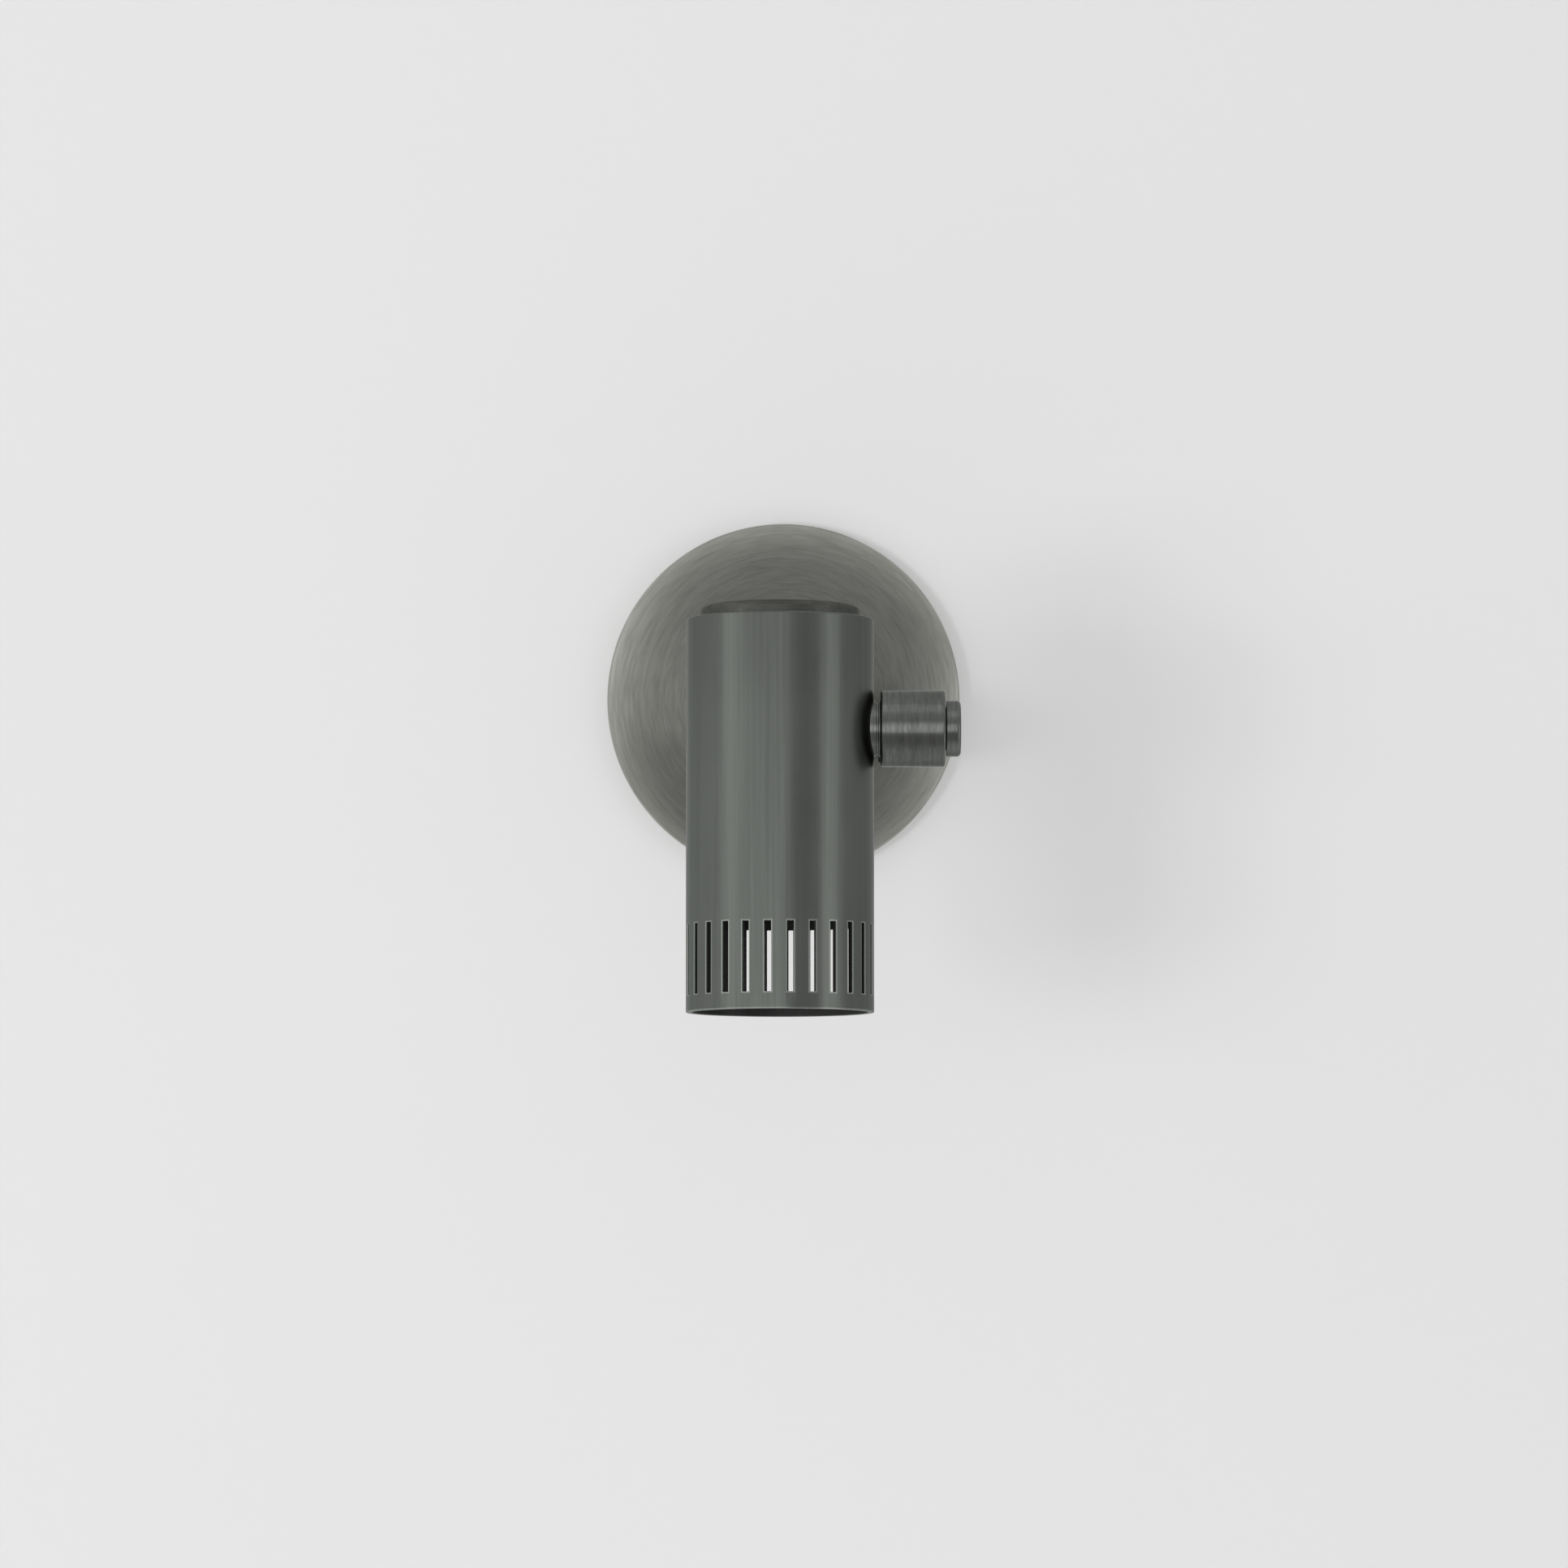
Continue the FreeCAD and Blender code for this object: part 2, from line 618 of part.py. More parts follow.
def swing_foot():
    """Fork with two round ears, a round shank and a hollow threaded stud."""
    foot = (ARM_X, "0", "-arm_drop")
    half = "knuckle_diameter / 2"
    ears = rod("fork_round", "knuckle_diameter", FORK_HEIGHT,
               moved(SWING_PLACE, z=f"-{FORK_HEIGHT} / 2"))
    neck = block("fork_neck", ("knuckle_diameter", f"pin_reach - {SHANK_FRONT}", FORK_HEIGHT),
                 moved(SWING_PLACE, x=f"-{half}", z=f"-{FORK_HEIGHT} / 2"))
    gap = block("fork_gap",
                ("knuckle_diameter + 2 * overrun", "knuckle_diameter + fork_web_gap / 2",
                 FORK_GAP),
                moved(SWING_PLACE, x=f"-{half} - overrun", y=f"-{half}", z=f"-{FORK_GAP} / 2"))
    shank = rod("foot_shank", "knuckle_diameter", f"{SHANK_FRONT} + ear_thickness / 2", foot,
                TO_FRONT)
    seat = ball("foot_seat", DOME_RADIUS, ("0", DOME_CENTRE, "0"))
    body = cut("foot_body", fused("foot_blank", [ears, neck, shank]), [seat])
    stud = rod("foot_stud", "stud_diameter", f"{SHANK_FRONT} - stud_room",
               moved(foot, y="-stud_room"), TO_FRONT)
    bore = rod("foot_bore", "lead_bore", "pin_reach", foot, TO_FRONT)
    top = f"{FORK_HEIGHT} / 2"
    clear = rod("pin_clear_hole", "pin_diameter + 2 * pin_play", f"{FORK_HEIGHT} / 2 + overrun",
                SWING_PLACE)
    thread = rod("pin_thread_hole", "pin_diameter", f"{FORK_HEIGHT} / 2",
                 moved(SWING_PLACE, z=f"-{FORK_HEIGHT} / 2 + ear_thickness / 5"))
    sink = rod("pin_head_sink", "pin_head_diameter + 2 * pin_play", "pin_head_height + overrun",
               moved(SWING_PLACE, z=f"{top} - pin_head_height"))
    whole = fused("foot_with_stud", [body, stud])
    node("swing_foot", cut("foot_cut", whole, [gap, bore, clear, thread, sink]))


def foot_fixings():
    """Saddle, lock washer and nut inside the wall plate."""
    foot = (ARM_X, "0", "-arm_drop")
    hollow = ball("foot_saddle_dome", f"{DOME_RADIUS} - canopy_wall", ("0", DOME_CENTRE, "0"))
    drum = rod("foot_saddle_drum", "foot_saddle_diameter", "pin_reach",
               moved(foot, y=f"-{FOOT_SADDLE_BACK}"), TO_FRONT)
    hole = rod("foot_saddle_hole", "stud_diameter + 2 * thread_play", "pin_reach", foot, TO_FRONT)
    node("foot_saddle", cut("foot_saddle_cut", shared("foot_saddle_blank", drum, hollow), [hole]))
    washer = rod("foot_washer_disc", "foot_washer_diameter", "foot_washer_thickness",
                 moved(foot, y=f"-{FOOT_WASHER_BACK}"), TO_FRONT)
    washer_hole = rod("foot_washer_hole", "stud_diameter + 2 * thread_play", "pin_reach", foot,
                      TO_FRONT)
    node("foot_lock_washer", cut("foot_washer_cut", washer, [washer_hole]))
    nut = hexagon("foot_nut_hexagon", "foot_nut_flats", "foot_nut_height",
                  moved(foot, y=f"-{FOOT_NUT_BACK}"), TO_FRONT)
    nut_hole = rod("foot_nut_hole", "stud_diameter", "pin_reach", foot, TO_FRONT)
    node("foot_nut", cut("foot_nut_cut", nut, [nut_hole]))


def swing_pin():
    """Screw that the arm swings on, threaded into the lower ear."""
    top = f"{FORK_HEIGHT} / 2"
    bottom = f"-{FORK_HEIGHT} / 2 + ear_thickness / 5"
    shank = rod("pin_shank", "pin_diameter", f"{top} - pin_head_height - ({bottom})",
                moved(SWING_PLACE, z=bottom))
    head = rod("pin_head", "pin_head_diameter", "pin_head_height",
               moved(SWING_PLACE, z=f"{top} - pin_head_height"))
    socket = hexagon("pin_socket_hole", "pin_socket", "pin_socket_depth + overrun",
                     moved(SWING_PLACE, z=f"{top} - pin_socket_depth"))
    node("swing_pin", cut("pin_cut", fused("pin_blank", [shank, head]), [socket]))


# Arm

GRUB_TURNS = (("upper", TO_BELOW), ("lower", UPRIGHT))
GRUB_SIGNS = {"upper": "", "lower": "-"}
# Three leads side by side in a round bore, as shares of their pitch
LEAD_SHARES = ((0.0, 0.58), (-0.5, -0.29), (0.5, -0.29))


def arm_root():
    """Hollow tongue between the ears, a stem, a collar and a plug in the tube."""
    ring = rod("tongue_round", "knuckle_diameter", "tongue_height",
               moved(SWING_PLACE, z="-tongue_height / 2"))
    axis = (ARM_X, "-pin_reach", "-arm_drop")
    stem = rod("root_stem", "stem_diameter", f"{TUBE_BACK} - pin_reach", axis, TO_FRONT)
    slab = block("root_slab", ("stem_diameter", f"{TUBE_BACK} - pin_reach", "tongue_height"),
                 (f"{ARM_X} - stem_diameter / 2", f"-{TUBE_BACK}",
                  "-arm_drop - tongue_height / 2"))
    trimmed_stem = shared("root_stem_trimmed", stem, slab)
    collar = rod("root_collar", "arm_diameter", "collar_length",
                 (ARM_X, f"-{COLLAR_BACK}", "-arm_drop"), TO_FRONT)
    plug = rod("root_plug", f"{TUBE_BORE} - 2 * spigot_play", "collar_length + spigot_length",
               (ARM_X, f"-{COLLAR_BACK}", "-arm_drop"), TO_FRONT)
    hollow = rod("tongue_hollow", "tongue_bore", "tongue_height + 2 * overrun",
                 moved(SWING_PLACE, z="-tongue_height / 2 - overrun"))
    bore = rod("root_bore", "tongue_window", f"{TUBE_BACK} + spigot_length", axis, TO_FRONT)
    window = block("tongue_window_cut",
                   ("knuckle_diameter + 2 * overrun", "knuckle_diameter", "tongue_window"),
                   moved(SWING_PLACE, x="-knuckle_diameter / 2 - overrun",
                         z="-tongue_window / 2"))
    grub_holes = [rod(f"root_grub_hole_{label}", "grub_diameter",
                      "arm_diameter", grub_start(label, "root"), turn)
                  for label, turn in GRUB_TURNS]
    whole = fused("root_blank", [ring, trimmed_stem, collar, plug])
    node("arm_root", cut("root_cut", whole, [hollow, bore, window] + grub_holes))


def grub_start(label, end):
    """Where a grub screw starts, flush with the arm tube."""
    reach = {"root": f"{TUBE_BACK} + grub_place",
             "barrel": f"{TILT_REACH} - barrel_diameter / 2 - grub_place"}[end]
    return (ARM_X, f"-({reach})", f"-arm_drop + {GRUB_SIGNS[label]}arm_diameter / 2")


def grub_screw(name, at, turn):
    shank = rod(name + "_shank", "grub_diameter", "grub_length", at, turn)
    socket = hexagon(name + "_socket", "grub_socket", "grub_socket_depth", at, turn)
    return cut(name, shank, [socket])


def arm_tube():
    """Straight tube, coped to the knuckle's round side."""
    at = (ARM_X, f"-{TUBE_BACK}", "-arm_drop")
    outside = rod("tube_outside", "arm_diameter", f"{TILT_REACH} - {TUBE_BACK}", at, TO_FRONT)
    inside = rod("tube_inside", TUBE_BORE, "arm_reach", at, TO_FRONT)
    cope = rod("tube_cope", "barrel_diameter", "barrel_length + 2 * overrun",
               moved(TILT_PLACE, x="-barrel_length / 2 - overrun"), TO_RIGHT)
    holes = [rod(f"tube_grub_hole_{end}_{label}", "grub_diameter", "2 * arm_wall",
                 grub_start(label, end), turn)
             for end in ("root", "barrel") for label, turn in GRUB_TURNS
             if (end, label) != ("barrel", "upper")]
    node("arm_tube", cut("tube_cut", outside, [inside, cope] + holes))


def arm_fixings():
    screws = [grub_screw(f"root_grub_{label}", grub_start(label, "root"), turn)
              for label, turn in GRUB_TURNS]
    node("root_grub_screws", group("root_grub_pair", screws))
    node("barrel_grub_screw",
         grub_screw("barrel_grub", grub_start("lower", "barrel"), UPRIGHT))
    bushes = []
    for label, sign, turn in (("upper", "", UPRIGHT), ("lower", "-", TO_BELOW)):
        face = f"{sign}tongue_height / 2"
        flange = rod(f"swing_bush_{label}_flange", "swing_bush_diameter", "swing_bush_flange",
                     moved(SWING_PLACE, z=face), turn)
        spigot = rod(f"swing_bush_{label}_spigot", "tongue_bore", "swing_bush_spigot",
                     moved(SWING_PLACE, z=f"{sign}(tongue_height / 2 - swing_bush_spigot)"), turn)
        hole = rod(f"swing_bush_{label}_hole", "pin_diameter + 2 * pin_play", FORK_HEIGHT,
                   moved(SWING_PLACE, z=f"-{FORK_HEIGHT} / 2"))
        bushes.append(cut(f"swing_bush_{label}",
                          fused(f"swing_bush_{label}_blank", [flange, spigot]), [hole]))
    node("swing_bushes", group("swing_bush_pair", bushes))


def tilt_barrel():
    """Round knuckle across the arm's end, with a plug that goes into the tube."""
    left = moved(TILT_PLACE, x="-barrel_length / 2")
    drum = rod("barrel_drum", "barrel_diameter", "barrel_length", left, TO_RIGHT)
    edged = softened("Part::Chamfer", "barrel_edged", drum, "barrel_chamfer",
                     [("barrel_diameter", f"{ARM_X} - barrel_length / 2"),
                      ("barrel_diameter", f"{ARM_X} + barrel_length / 2")], X_AXIS)
    plug = rod("barrel_plug", f"{TUBE_BORE} - 2 * spigot_play",
               "barrel_diameter / 2 + spigot_length", TILT_PLACE, TO_BACK)
    bore = rod("barrel_through", "barrel_bore", "barrel_length + 2 * overrun",
               moved(left, x="-overrun"), TO_RIGHT)
    lead_way = rod("barrel_lead_way", "lead_bore", "arm_reach / 2", TILT_PLACE, TO_BACK)
    seats = [rod(f"barrel_seat_{label}", "barrel_bush_diameter", "barrel_bush_length + overrun",
                 moved(TILT_PLACE, x=x), TO_RIGHT)
             for label, x in (("left", "-barrel_length / 2 - overrun"),
                              ("right", "barrel_length / 2 - barrel_bush_length"))]
    grub_hole = rod("barrel_grub_hole", "grub_diameter", "arm_diameter / 2",
                    grub_start("lower", "barrel"))
    node("tilt_barrel", cut("barrel_cut", fused("barrel_blank", [edged, plug]),
                            [bore, lead_way, grub_hole] + seats))
    bushes = []
    for label, x in (("left", "-barrel_length / 2"), ("right", "barrel_length / 2 - barrel_bush_length")):
        at = moved(TILT_PLACE, x=x)
        sleeve = rod(f"barrel_bush_{label}_sleeve", "barrel_bush_diameter", "barrel_bush_length",
                     at, TO_RIGHT)
        hole = rod(f"barrel_bush_{label}_hole", "spindle_diameter + 2 * spindle_play",
                   "barrel_bush_length + 2 * overrun", moved(at, x="-overrun"), TO_RIGHT)
        bushes.append(cut(f"barrel_bush_{label}", sleeve, [hole]))
    node("barrel_bushes", group("barrel_bush_pair", bushes))


def arm_leads():
    """The three leads that run straight down the arm."""
    leads = []
    start = f"({COLLAR_BACK} - stem_diameter / 2)"
    stop = f"({TILT_REACH} - barrel_bore / 2)"
    for number, (x_share, z_share) in enumerate(LEAD_SHARES):
        at = (f"{ARM_X} + lead_pitch * {x_share}", f"-{start}",
              f"-arm_drop + lead_pitch * {z_share}")
        leads.append(rod(f"arm_lead_{number + 1}", "lead_diameter", f"{stop} - {start}", at,
                         TO_FRONT))
    node("arm_leads", group("arm_lead_set", leads))


# Tilting head, drawn about its own pivot and then leaned to its place

def head_node(name, *pieces):
    return node(name, place(group(name + "_seated", list(pieces)), TILT_PLACE, TILTED))


def tilt_spindle():
    """Hollow spindle through the knuckle and the shade's wall."""
    right = f"({CAP_LEFT_X} + spindle_nut_height)"
    bar = rod("spindle_bar", "spindle_diameter", f"{right} - {SPINDLE_LEFT_X}",
              (SPINDLE_LEFT_X, "0", "0"), TO_RIGHT)
    bore = rod("spindle_hollow", "spindle_bore", f"{right} - {SPINDLE_LEFT_X} - ear_thickness",
               (SPINDLE_LEFT_X, "0", "0"), TO_RIGHT)
    window = rod("spindle_window_cut", "spindle_window", "spindle_diameter", turn=TO_BACK)
    head_node("tilt_spindle", cut("spindle_cut", bar, [bore, window]))


def neck_and_end():
    """Collar against the shade, and the spring washer, nut and cap at the far end."""
    start = f"({SHADE_X} + shade_diameter / 4)"
    collar = rod("neck_drum", "neck_diameter", f"-barrel_length / 2 - friction_gap - {start}",
                 (start, "0", "0"), TO_RIGHT)
    shade = rod("neck_shade", "shade_diameter", "shade_above + shade_below",
                (SHADE_X, "0", "-shade_below"))
    hole = rod("neck_hole", "spindle_diameter", "shade_diameter", (SHADE_X, "0", "0"), TO_RIGHT)
    head_node("neck_collar", cut("neck_cut", collar, [shade, hole]))
    washer = rod("spring_disc", "spring_washer_diameter", "end_groove - friction_gap",
                 ("barrel_length / 2 + friction_gap", "0", "0"), TO_RIGHT)
    washer_hole = rod("spring_hole", "spindle_diameter", "barrel_length",
                      ("0", "0", "0"), TO_RIGHT)
    head_node("spring_washer", cut("spring_cut", washer, [washer_hole]))
    nut = hexagon("spindle_nut_hexagon", "spindle_nut_flats", "spindle_nut_height",
                  (CAP_LEFT_X, "0", "0"), TO_RIGHT)
    nut_hole = rod("spindle_nut_hole", "spindle_diameter", "barrel_length",
                   ("0", "0", "0"), TO_RIGHT)
    head_node("spindle_nut", cut("spindle_nut_cut", nut, [nut_hole]))
    cap = rod("end_cap_drum", "end_cap_diameter", "end_cap_length", (CAP_LEFT_X, "0", "0"), TO_RIGHT)
    rounded = softened("Part::Fillet", "end_cap_rounded", cap, "end_cap_round",
                       [("end_cap_diameter", f"{CAP_LEFT_X} + end_cap_length")], X_AXIS)
    recess = rod("end_cap_hollow", "end_cap_recess", f"spindle_nut_height + {CAP_LEFT_X}",
                 ("0", "0", "0"), TO_RIGHT)
    head_node("end_cap", cut("end_cap_cut", rounded, [recess]))


def shade_fixings():
    """Saddle and nut on the spindle inside the shade."""
    drum = rod("shade_saddle_drum", "shade_saddle_diameter", "shade_diameter / 2",
               (SADDLE_FLAT_X, "0", "0"), TO_RIGHT)
    inside = rod("shade_saddle_inside", "shade_diameter - 2 * shade_wall", "shade_diameter",
                 (SHADE_X, "0", "-shade_diameter / 2"))
    hole = rod("shade_saddle_hole", "spindle_diameter", "shade_diameter", (SHADE_X, "0", "0"),
               TO_RIGHT)
    head_node("shade_saddle", cut("shade_saddle_cut", shared("shade_saddle_blank", drum, inside),
                                  [hole]))
    nut = hexagon("shade_nut_hexagon", "shade_nut_flats", "shade_nut_height",
                  (f"{SADDLE_FLAT_X} - shade_nut_height", "0", "0"), TO_RIGHT)
    nut_hole = rod("shade_nut_hole", "spindle_diameter", "shade_diameter", (SHADE_X, "0", "0"),
                   TO_RIGHT)
    head_node("shade_nut", cut("shade_nut_cut", nut, [nut_hole]))


def shade_tube():
    """Spun tube with a closed top, an open mouth and a ring of slots."""
    outer = "shade_diameter / 2"
    inner = "shade_diameter / 2 - shade_wall"
    eye = "cap_stud_diameter / 2 + cap_stud_play"
    body = turned_body("shade_body", [
        (outer, "-shade_below"), (outer, "shade_above"), (eye, "shade_above"),
        (eye, "shade_above - shade_wall"), (inner, "shade_above - shade_wall"),
        (inner, "-shade_below")])
    round_body_edges(body, "shade_edge_round", [("shade_diameter", "shade_above")])
    whole = body.Tip.Shape.Volume
    low = "-shade_below + slot_rise"
    high = f"{low} + slot_length"
    slot_outline = [("-slot_width / 2", low), ("slot_width / 2", low),
                    ("slot_width / 2", high), ("-slot_width / 2", high)]
    slot = body.newObject("PartDesign::Pocket", "slot_cut")
    slot.Profile = outlined(body, "slot_outline", "XZ_Plane", slot_outline)
    slot.setExpression("Length", named("shade_diameter"))
    body.Tip = slot
    DOC.recompute()
    if slot.Shape.Volume >= whole:
        raise ValueError("the slot cuts nothing")
    ring = body.newObject("PartDesign::PolarPattern", "slot_ring")
    ring.Originals = [slot]
    ring.Axis = (origin_part(body, "Z_Axis"), [""])
    ring.Angle = 360
    ring.Occurrences = int(SHEET.slot_count)
    body.Tip = ring
    DOC.recompute()
    place(body, (SHADE_X, "0", "0"), FreeCAD.Rotation(Z_AXIS, SHEET.slot_turn))
    hole = rod("shade_spindle_hole", "spindle_diameter", "shade_diameter", (SHADE_X, "0", "0"),
               TO_RIGHT)
    head_node("shade_tube", cut("shade_cut", body, [hole]))


def top_cap():
    disc = rod("top_cap_disc", "top_cap_diameter", "top_cap_height", (SHADE_X, "0", "shade_above"))
    rounded = softened("Part::Fillet", "top_cap_rounded", disc, "top_cap_round",
                       [("top_cap_diameter", "shade_above + top_cap_height")], Z_AXIS)
    hole = rod("top_cap_hole", "cap_stud_diameter", "cap_stud_sink + overrun",
               (SHADE_X, "0", "shade_above - overrun"))
    head_node("top_cap", cut("top_cap_cut", rounded, [hole]))


def holder_hanger():
    """Stud from the cap down to a plate that carries the lamp holder."""
    low = f"({PLATE_TOP} - holder_plate_thickness - stud_nut_height)"
    head_node("cap_stud", rod("cap_stud_bar", "cap_stud_diameter",
                              f"shade_above + cap_stud_sink - {low}", (SHADE_X, "0", low)))
    nuts = []
    levels = (("top", "shade_above - shade_wall - stud_nut_height"), ("middle", PLATE_TOP),
              ("low", low))
    for label, level in levels:
        nut = hexagon(f"stud_nut_{label}_hexagon", "stud_nut_flats", "stud_nut_height",
                      (SHADE_X, "0", level))
        hole = rod(f"stud_nut_{label}_hole", "cap_stud_diameter", "shade_above",
                   (SHADE_X, "0", "0"))
        nuts.append(cut(f"stud_nut_{label}", nut, [hole]))
    head_node("stud_nuts", *nuts)
    plate = rod("holder_plate_disc", "holder_plate_diameter", "holder_plate_thickness",
                (SHADE_X, "0", "holder_top"))
    eye = rod("holder_plate_eye", "cap_stud_diameter + 2 * cap_stud_play", "shade_above",
              (SHADE_X, "0", "0"))
    screw_holes = [rod(f"holder_plate_hole_{label}", "holder_screw_diameter", "shade_above",
                       (f"{SHADE_X} {sign} holder_screw_pitch / 2", "0", "0"))
                   for label, sign in (("left", "-"), ("right", "+"))]
    head_node("holder_plate", cut("holder_plate_cut", plate, [eye] + screw_holes))
    screws = []
    for label, sign in (("left", "-"), ("right", "+")):
        x = f"{SHADE_X} {sign} holder_screw_pitch / 2"
        shank = rod(f"holder_screw_{label}_shank", "holder_screw_diameter", "holder_screw_length",
                    (x, "0", f"{PLATE_TOP} - holder_screw_length"))
        head = rod(f"holder_screw_{label}_head", "holder_screw_head", "holder_screw_head_height",
                   (x, "0", PLATE_TOP))
        screws.append(fused(f"holder_screw_{label}", [shank, head]))
    head_node("holder_screws", *screws)


def lamp_holder():
    """Ceramic twist and lock holder."""
    drum = rod("holder_drum", "holder_diameter", "holder_height", (SHADE_X, "0", HOLDER_BOTTOM))
    recess = rod("holder_recess", "holder_recess_diameter", "holder_recess_depth + overrun",
                 (SHADE_X, "0", "holder_top - holder_recess_depth"))
    holes = [recess]
    for label, sign in (("left", "-"), ("right", "+")):
        x = f"{SHADE_X} {sign} lamp_pin_pitch / 2"
        holes.append(rod(f"holder_pin_hole_{label}", "lamp_pin_foot + 2 * lamp_pin_play",
                         "lamp_pin_length + lamp_pin_play + overrun",
                         (x, "0", f"{HOLDER_BOTTOM} - overrun")))
        x = f"{SHADE_X} {sign} holder_screw_pitch / 2"
        holes.append(rod(f"holder_screw_hole_{label}", "holder_screw_diameter",
                         "holder_screw_length",
                         (x, "0", f"{PLATE_TOP} - holder_screw_length")))
    head_node("lamp_holder", cut("holder_cut", drum, holes))


def lamp():
    """Reflector lamp: moulded shell, front lens and two contact pins."""
    neck = "lamp_neck_diameter / 2"
    rim = f"{LAMP_DIAMETER} / 2"
    inner = f"({rim} - lamp_wall)"
    shoulder = f"{LAMP_FRONT} + lamp_rim_height"
    seat = f"{LAMP_FRONT} + lens_sink + lens_thickness"
    throat = f"{LAMP_TOP} - lamp_neck_length"
    shell = turned_body("lamp_shell", [
        ("0", LAMP_TOP), (neck, LAMP_TOP), (neck, throat), (rim, shoulder), (rim, LAMP_FRONT),
        (inner, LAMP_FRONT), (inner, seat), (f"{neck} - lamp_wall", throat), ("0", throat)])
    head_node("lamp_body", place(shell, (SHADE_X, "0", "0")))
    lens = rod("lens_disc", f"2 * {inner}", "lens_thickness",
               (SHADE_X, "0", f"{LAMP_FRONT} + lens_sink"))
    head_node("lamp_lens", lens)
    pins = []
    for label, sign in (("left", "-"), ("right", "+")):
        x = f"{SHADE_X} {sign} lamp_pin_pitch / 2"
        stem = rod(f"lamp_pin_{label}_stem", "lamp_pin_diameter", "lamp_pin_length",
                   (x, "0", LAMP_TOP))
        foot = rod(f"lamp_pin_{label}_foot", "lamp_pin_foot", "lamp_pin_foot_height",
                   (x, "0", f"{LAMP_TOP} + lamp_pin_length - lamp_pin_foot_height"))
        pins.append(fused(f"lamp_pin_{label}", [stem, foot]))
    head_node("lamp_pins", *pins)


def lamp_ring():
    """Ring under the lamp's rim, held in the shade by its own flange."""
    outer = "(shade_diameter / 2 - shade_wall)"
    eye = f"({LAMP_DIAMETER} / 2 - ring_lip)"
    body = turned_body("lamp_ring_body", [
        (outer, f"{LAMP_FRONT} - ring_thickness"), (outer, f"{LAMP_FRONT} - ring_thickness + ring_height"),
        (f"{outer} - ring_wall", f"{LAMP_FRONT} - ring_thickness + ring_height"),
        (f"{outer} - ring_wall", LAMP_FRONT), (eye, LAMP_FRONT),
        (eye, f"{LAMP_FRONT} - ring_thickness")])
    head_node("lamp_ring", place(body, (SHADE_X, "0", "0")))


def head_leads():
    """The three leads from the knuckle through the spindle to the lamp holder."""
    leads = []
    left = f"({SHADE_X} + holder_diameter / 2)"
    for number, (y_share, z_share) in enumerate(LEAD_SHARES):
        leads.append(rod(f"head_lead_{number + 1}", "lead_diameter", f"-{left}",
                         (left, f"lead_pitch * {y_share}", f"lead_pitch * {z_share}"), TO_RIGHT))
    head_node("head_leads", *leads)


def build():
    canopy_dome()
    crossbar()
    canopy_set_screws()
    terminal_block()
    terminal_screws()
    terminal_block_screw()
    ground_fixing()
    wall_leads()
    swing_foot()
    foot_fixings()
    swing_pin()
    arm_root()
    arm_tube()
    arm_fixings()
    tilt_barrel()
    arm_leads()
    tilt_spindle()
    neck_and_end()
    shade_fixings()
    shade_tube()
    top_cap()
    holder_hanger()
    lamp_holder()
    lamp()
    lamp_ring()
    head_leads()
    DOC.recompute()


def check():
    """Stop before anything is written if an object failed or a shape is bad."""
    for item in DOC.Objects:
        if "Invalid" in item.State or "Error" in item.State:
            raise ValueError("failed object: " + item.Label)
    for piece in NODES:
        if piece.Shape.isNull() or not piece.Shape.isValid() or not piece.Shape.Solids:
            raise ValueError("bad shape: " + piece.Label)


def export():
    os.makedirs("parts", exist_ok=True)
    for piece in NODES:
        piece.Shape.exportStep("parts/" + piece.Label + ".step")
        box = piece.Shape.BoundBox
        print("%-22s solids %d volume %9.1f  x %7.1f %7.1f  y %7.1f %7.1f  z %7.1f %7.1f" % (
            piece.Label, len(piece.Shape.Solids), piece.Shape.Volume,
            box.XMin, box.XMax, box.YMin, box.YMax, box.ZMin, box.ZMax))


build()
check()
export()
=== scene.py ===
# %% [markdown]
# A swing arm wall lamp in dark brushed pewter
#
# The lamp has a round domed plate on the wall, a straight arm that swings sideways on an upright
# pin, and a cylinder shade that tilts on a round knuckle at the arm's end. The engineering model
# gives every piece its size and place. This lesson dresses it: the pieces that show most are
# modelled again as smooth meshes, and every piece gets a finish made of nodes.
# All lengths are in metres, X runs to the right, Z up, and the lamp stands out from the wall
# towards -Y.

# %% Load the engineering model
import json
import math

import bmesh
import bpy
from mathutils import Matrix, Vector


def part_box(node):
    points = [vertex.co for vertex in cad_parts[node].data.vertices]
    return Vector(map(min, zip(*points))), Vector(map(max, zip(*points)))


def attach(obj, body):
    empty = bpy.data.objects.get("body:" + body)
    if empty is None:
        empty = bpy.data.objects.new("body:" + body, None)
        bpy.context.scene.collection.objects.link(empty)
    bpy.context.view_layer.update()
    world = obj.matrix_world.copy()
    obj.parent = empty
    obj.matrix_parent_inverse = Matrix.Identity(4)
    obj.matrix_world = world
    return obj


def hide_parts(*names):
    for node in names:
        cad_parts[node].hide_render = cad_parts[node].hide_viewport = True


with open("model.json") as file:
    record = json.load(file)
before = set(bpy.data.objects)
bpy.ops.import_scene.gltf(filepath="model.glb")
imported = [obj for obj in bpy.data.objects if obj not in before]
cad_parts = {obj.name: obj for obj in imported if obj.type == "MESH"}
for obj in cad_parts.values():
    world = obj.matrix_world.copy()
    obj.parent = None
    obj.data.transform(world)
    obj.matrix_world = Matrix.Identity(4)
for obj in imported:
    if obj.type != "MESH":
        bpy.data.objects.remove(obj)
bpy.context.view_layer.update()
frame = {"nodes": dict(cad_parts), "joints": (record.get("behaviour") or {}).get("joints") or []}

MM = 0.001
scene = bpy.context.scene
print("pieces in the engineering model:", len(frame["nodes"]))

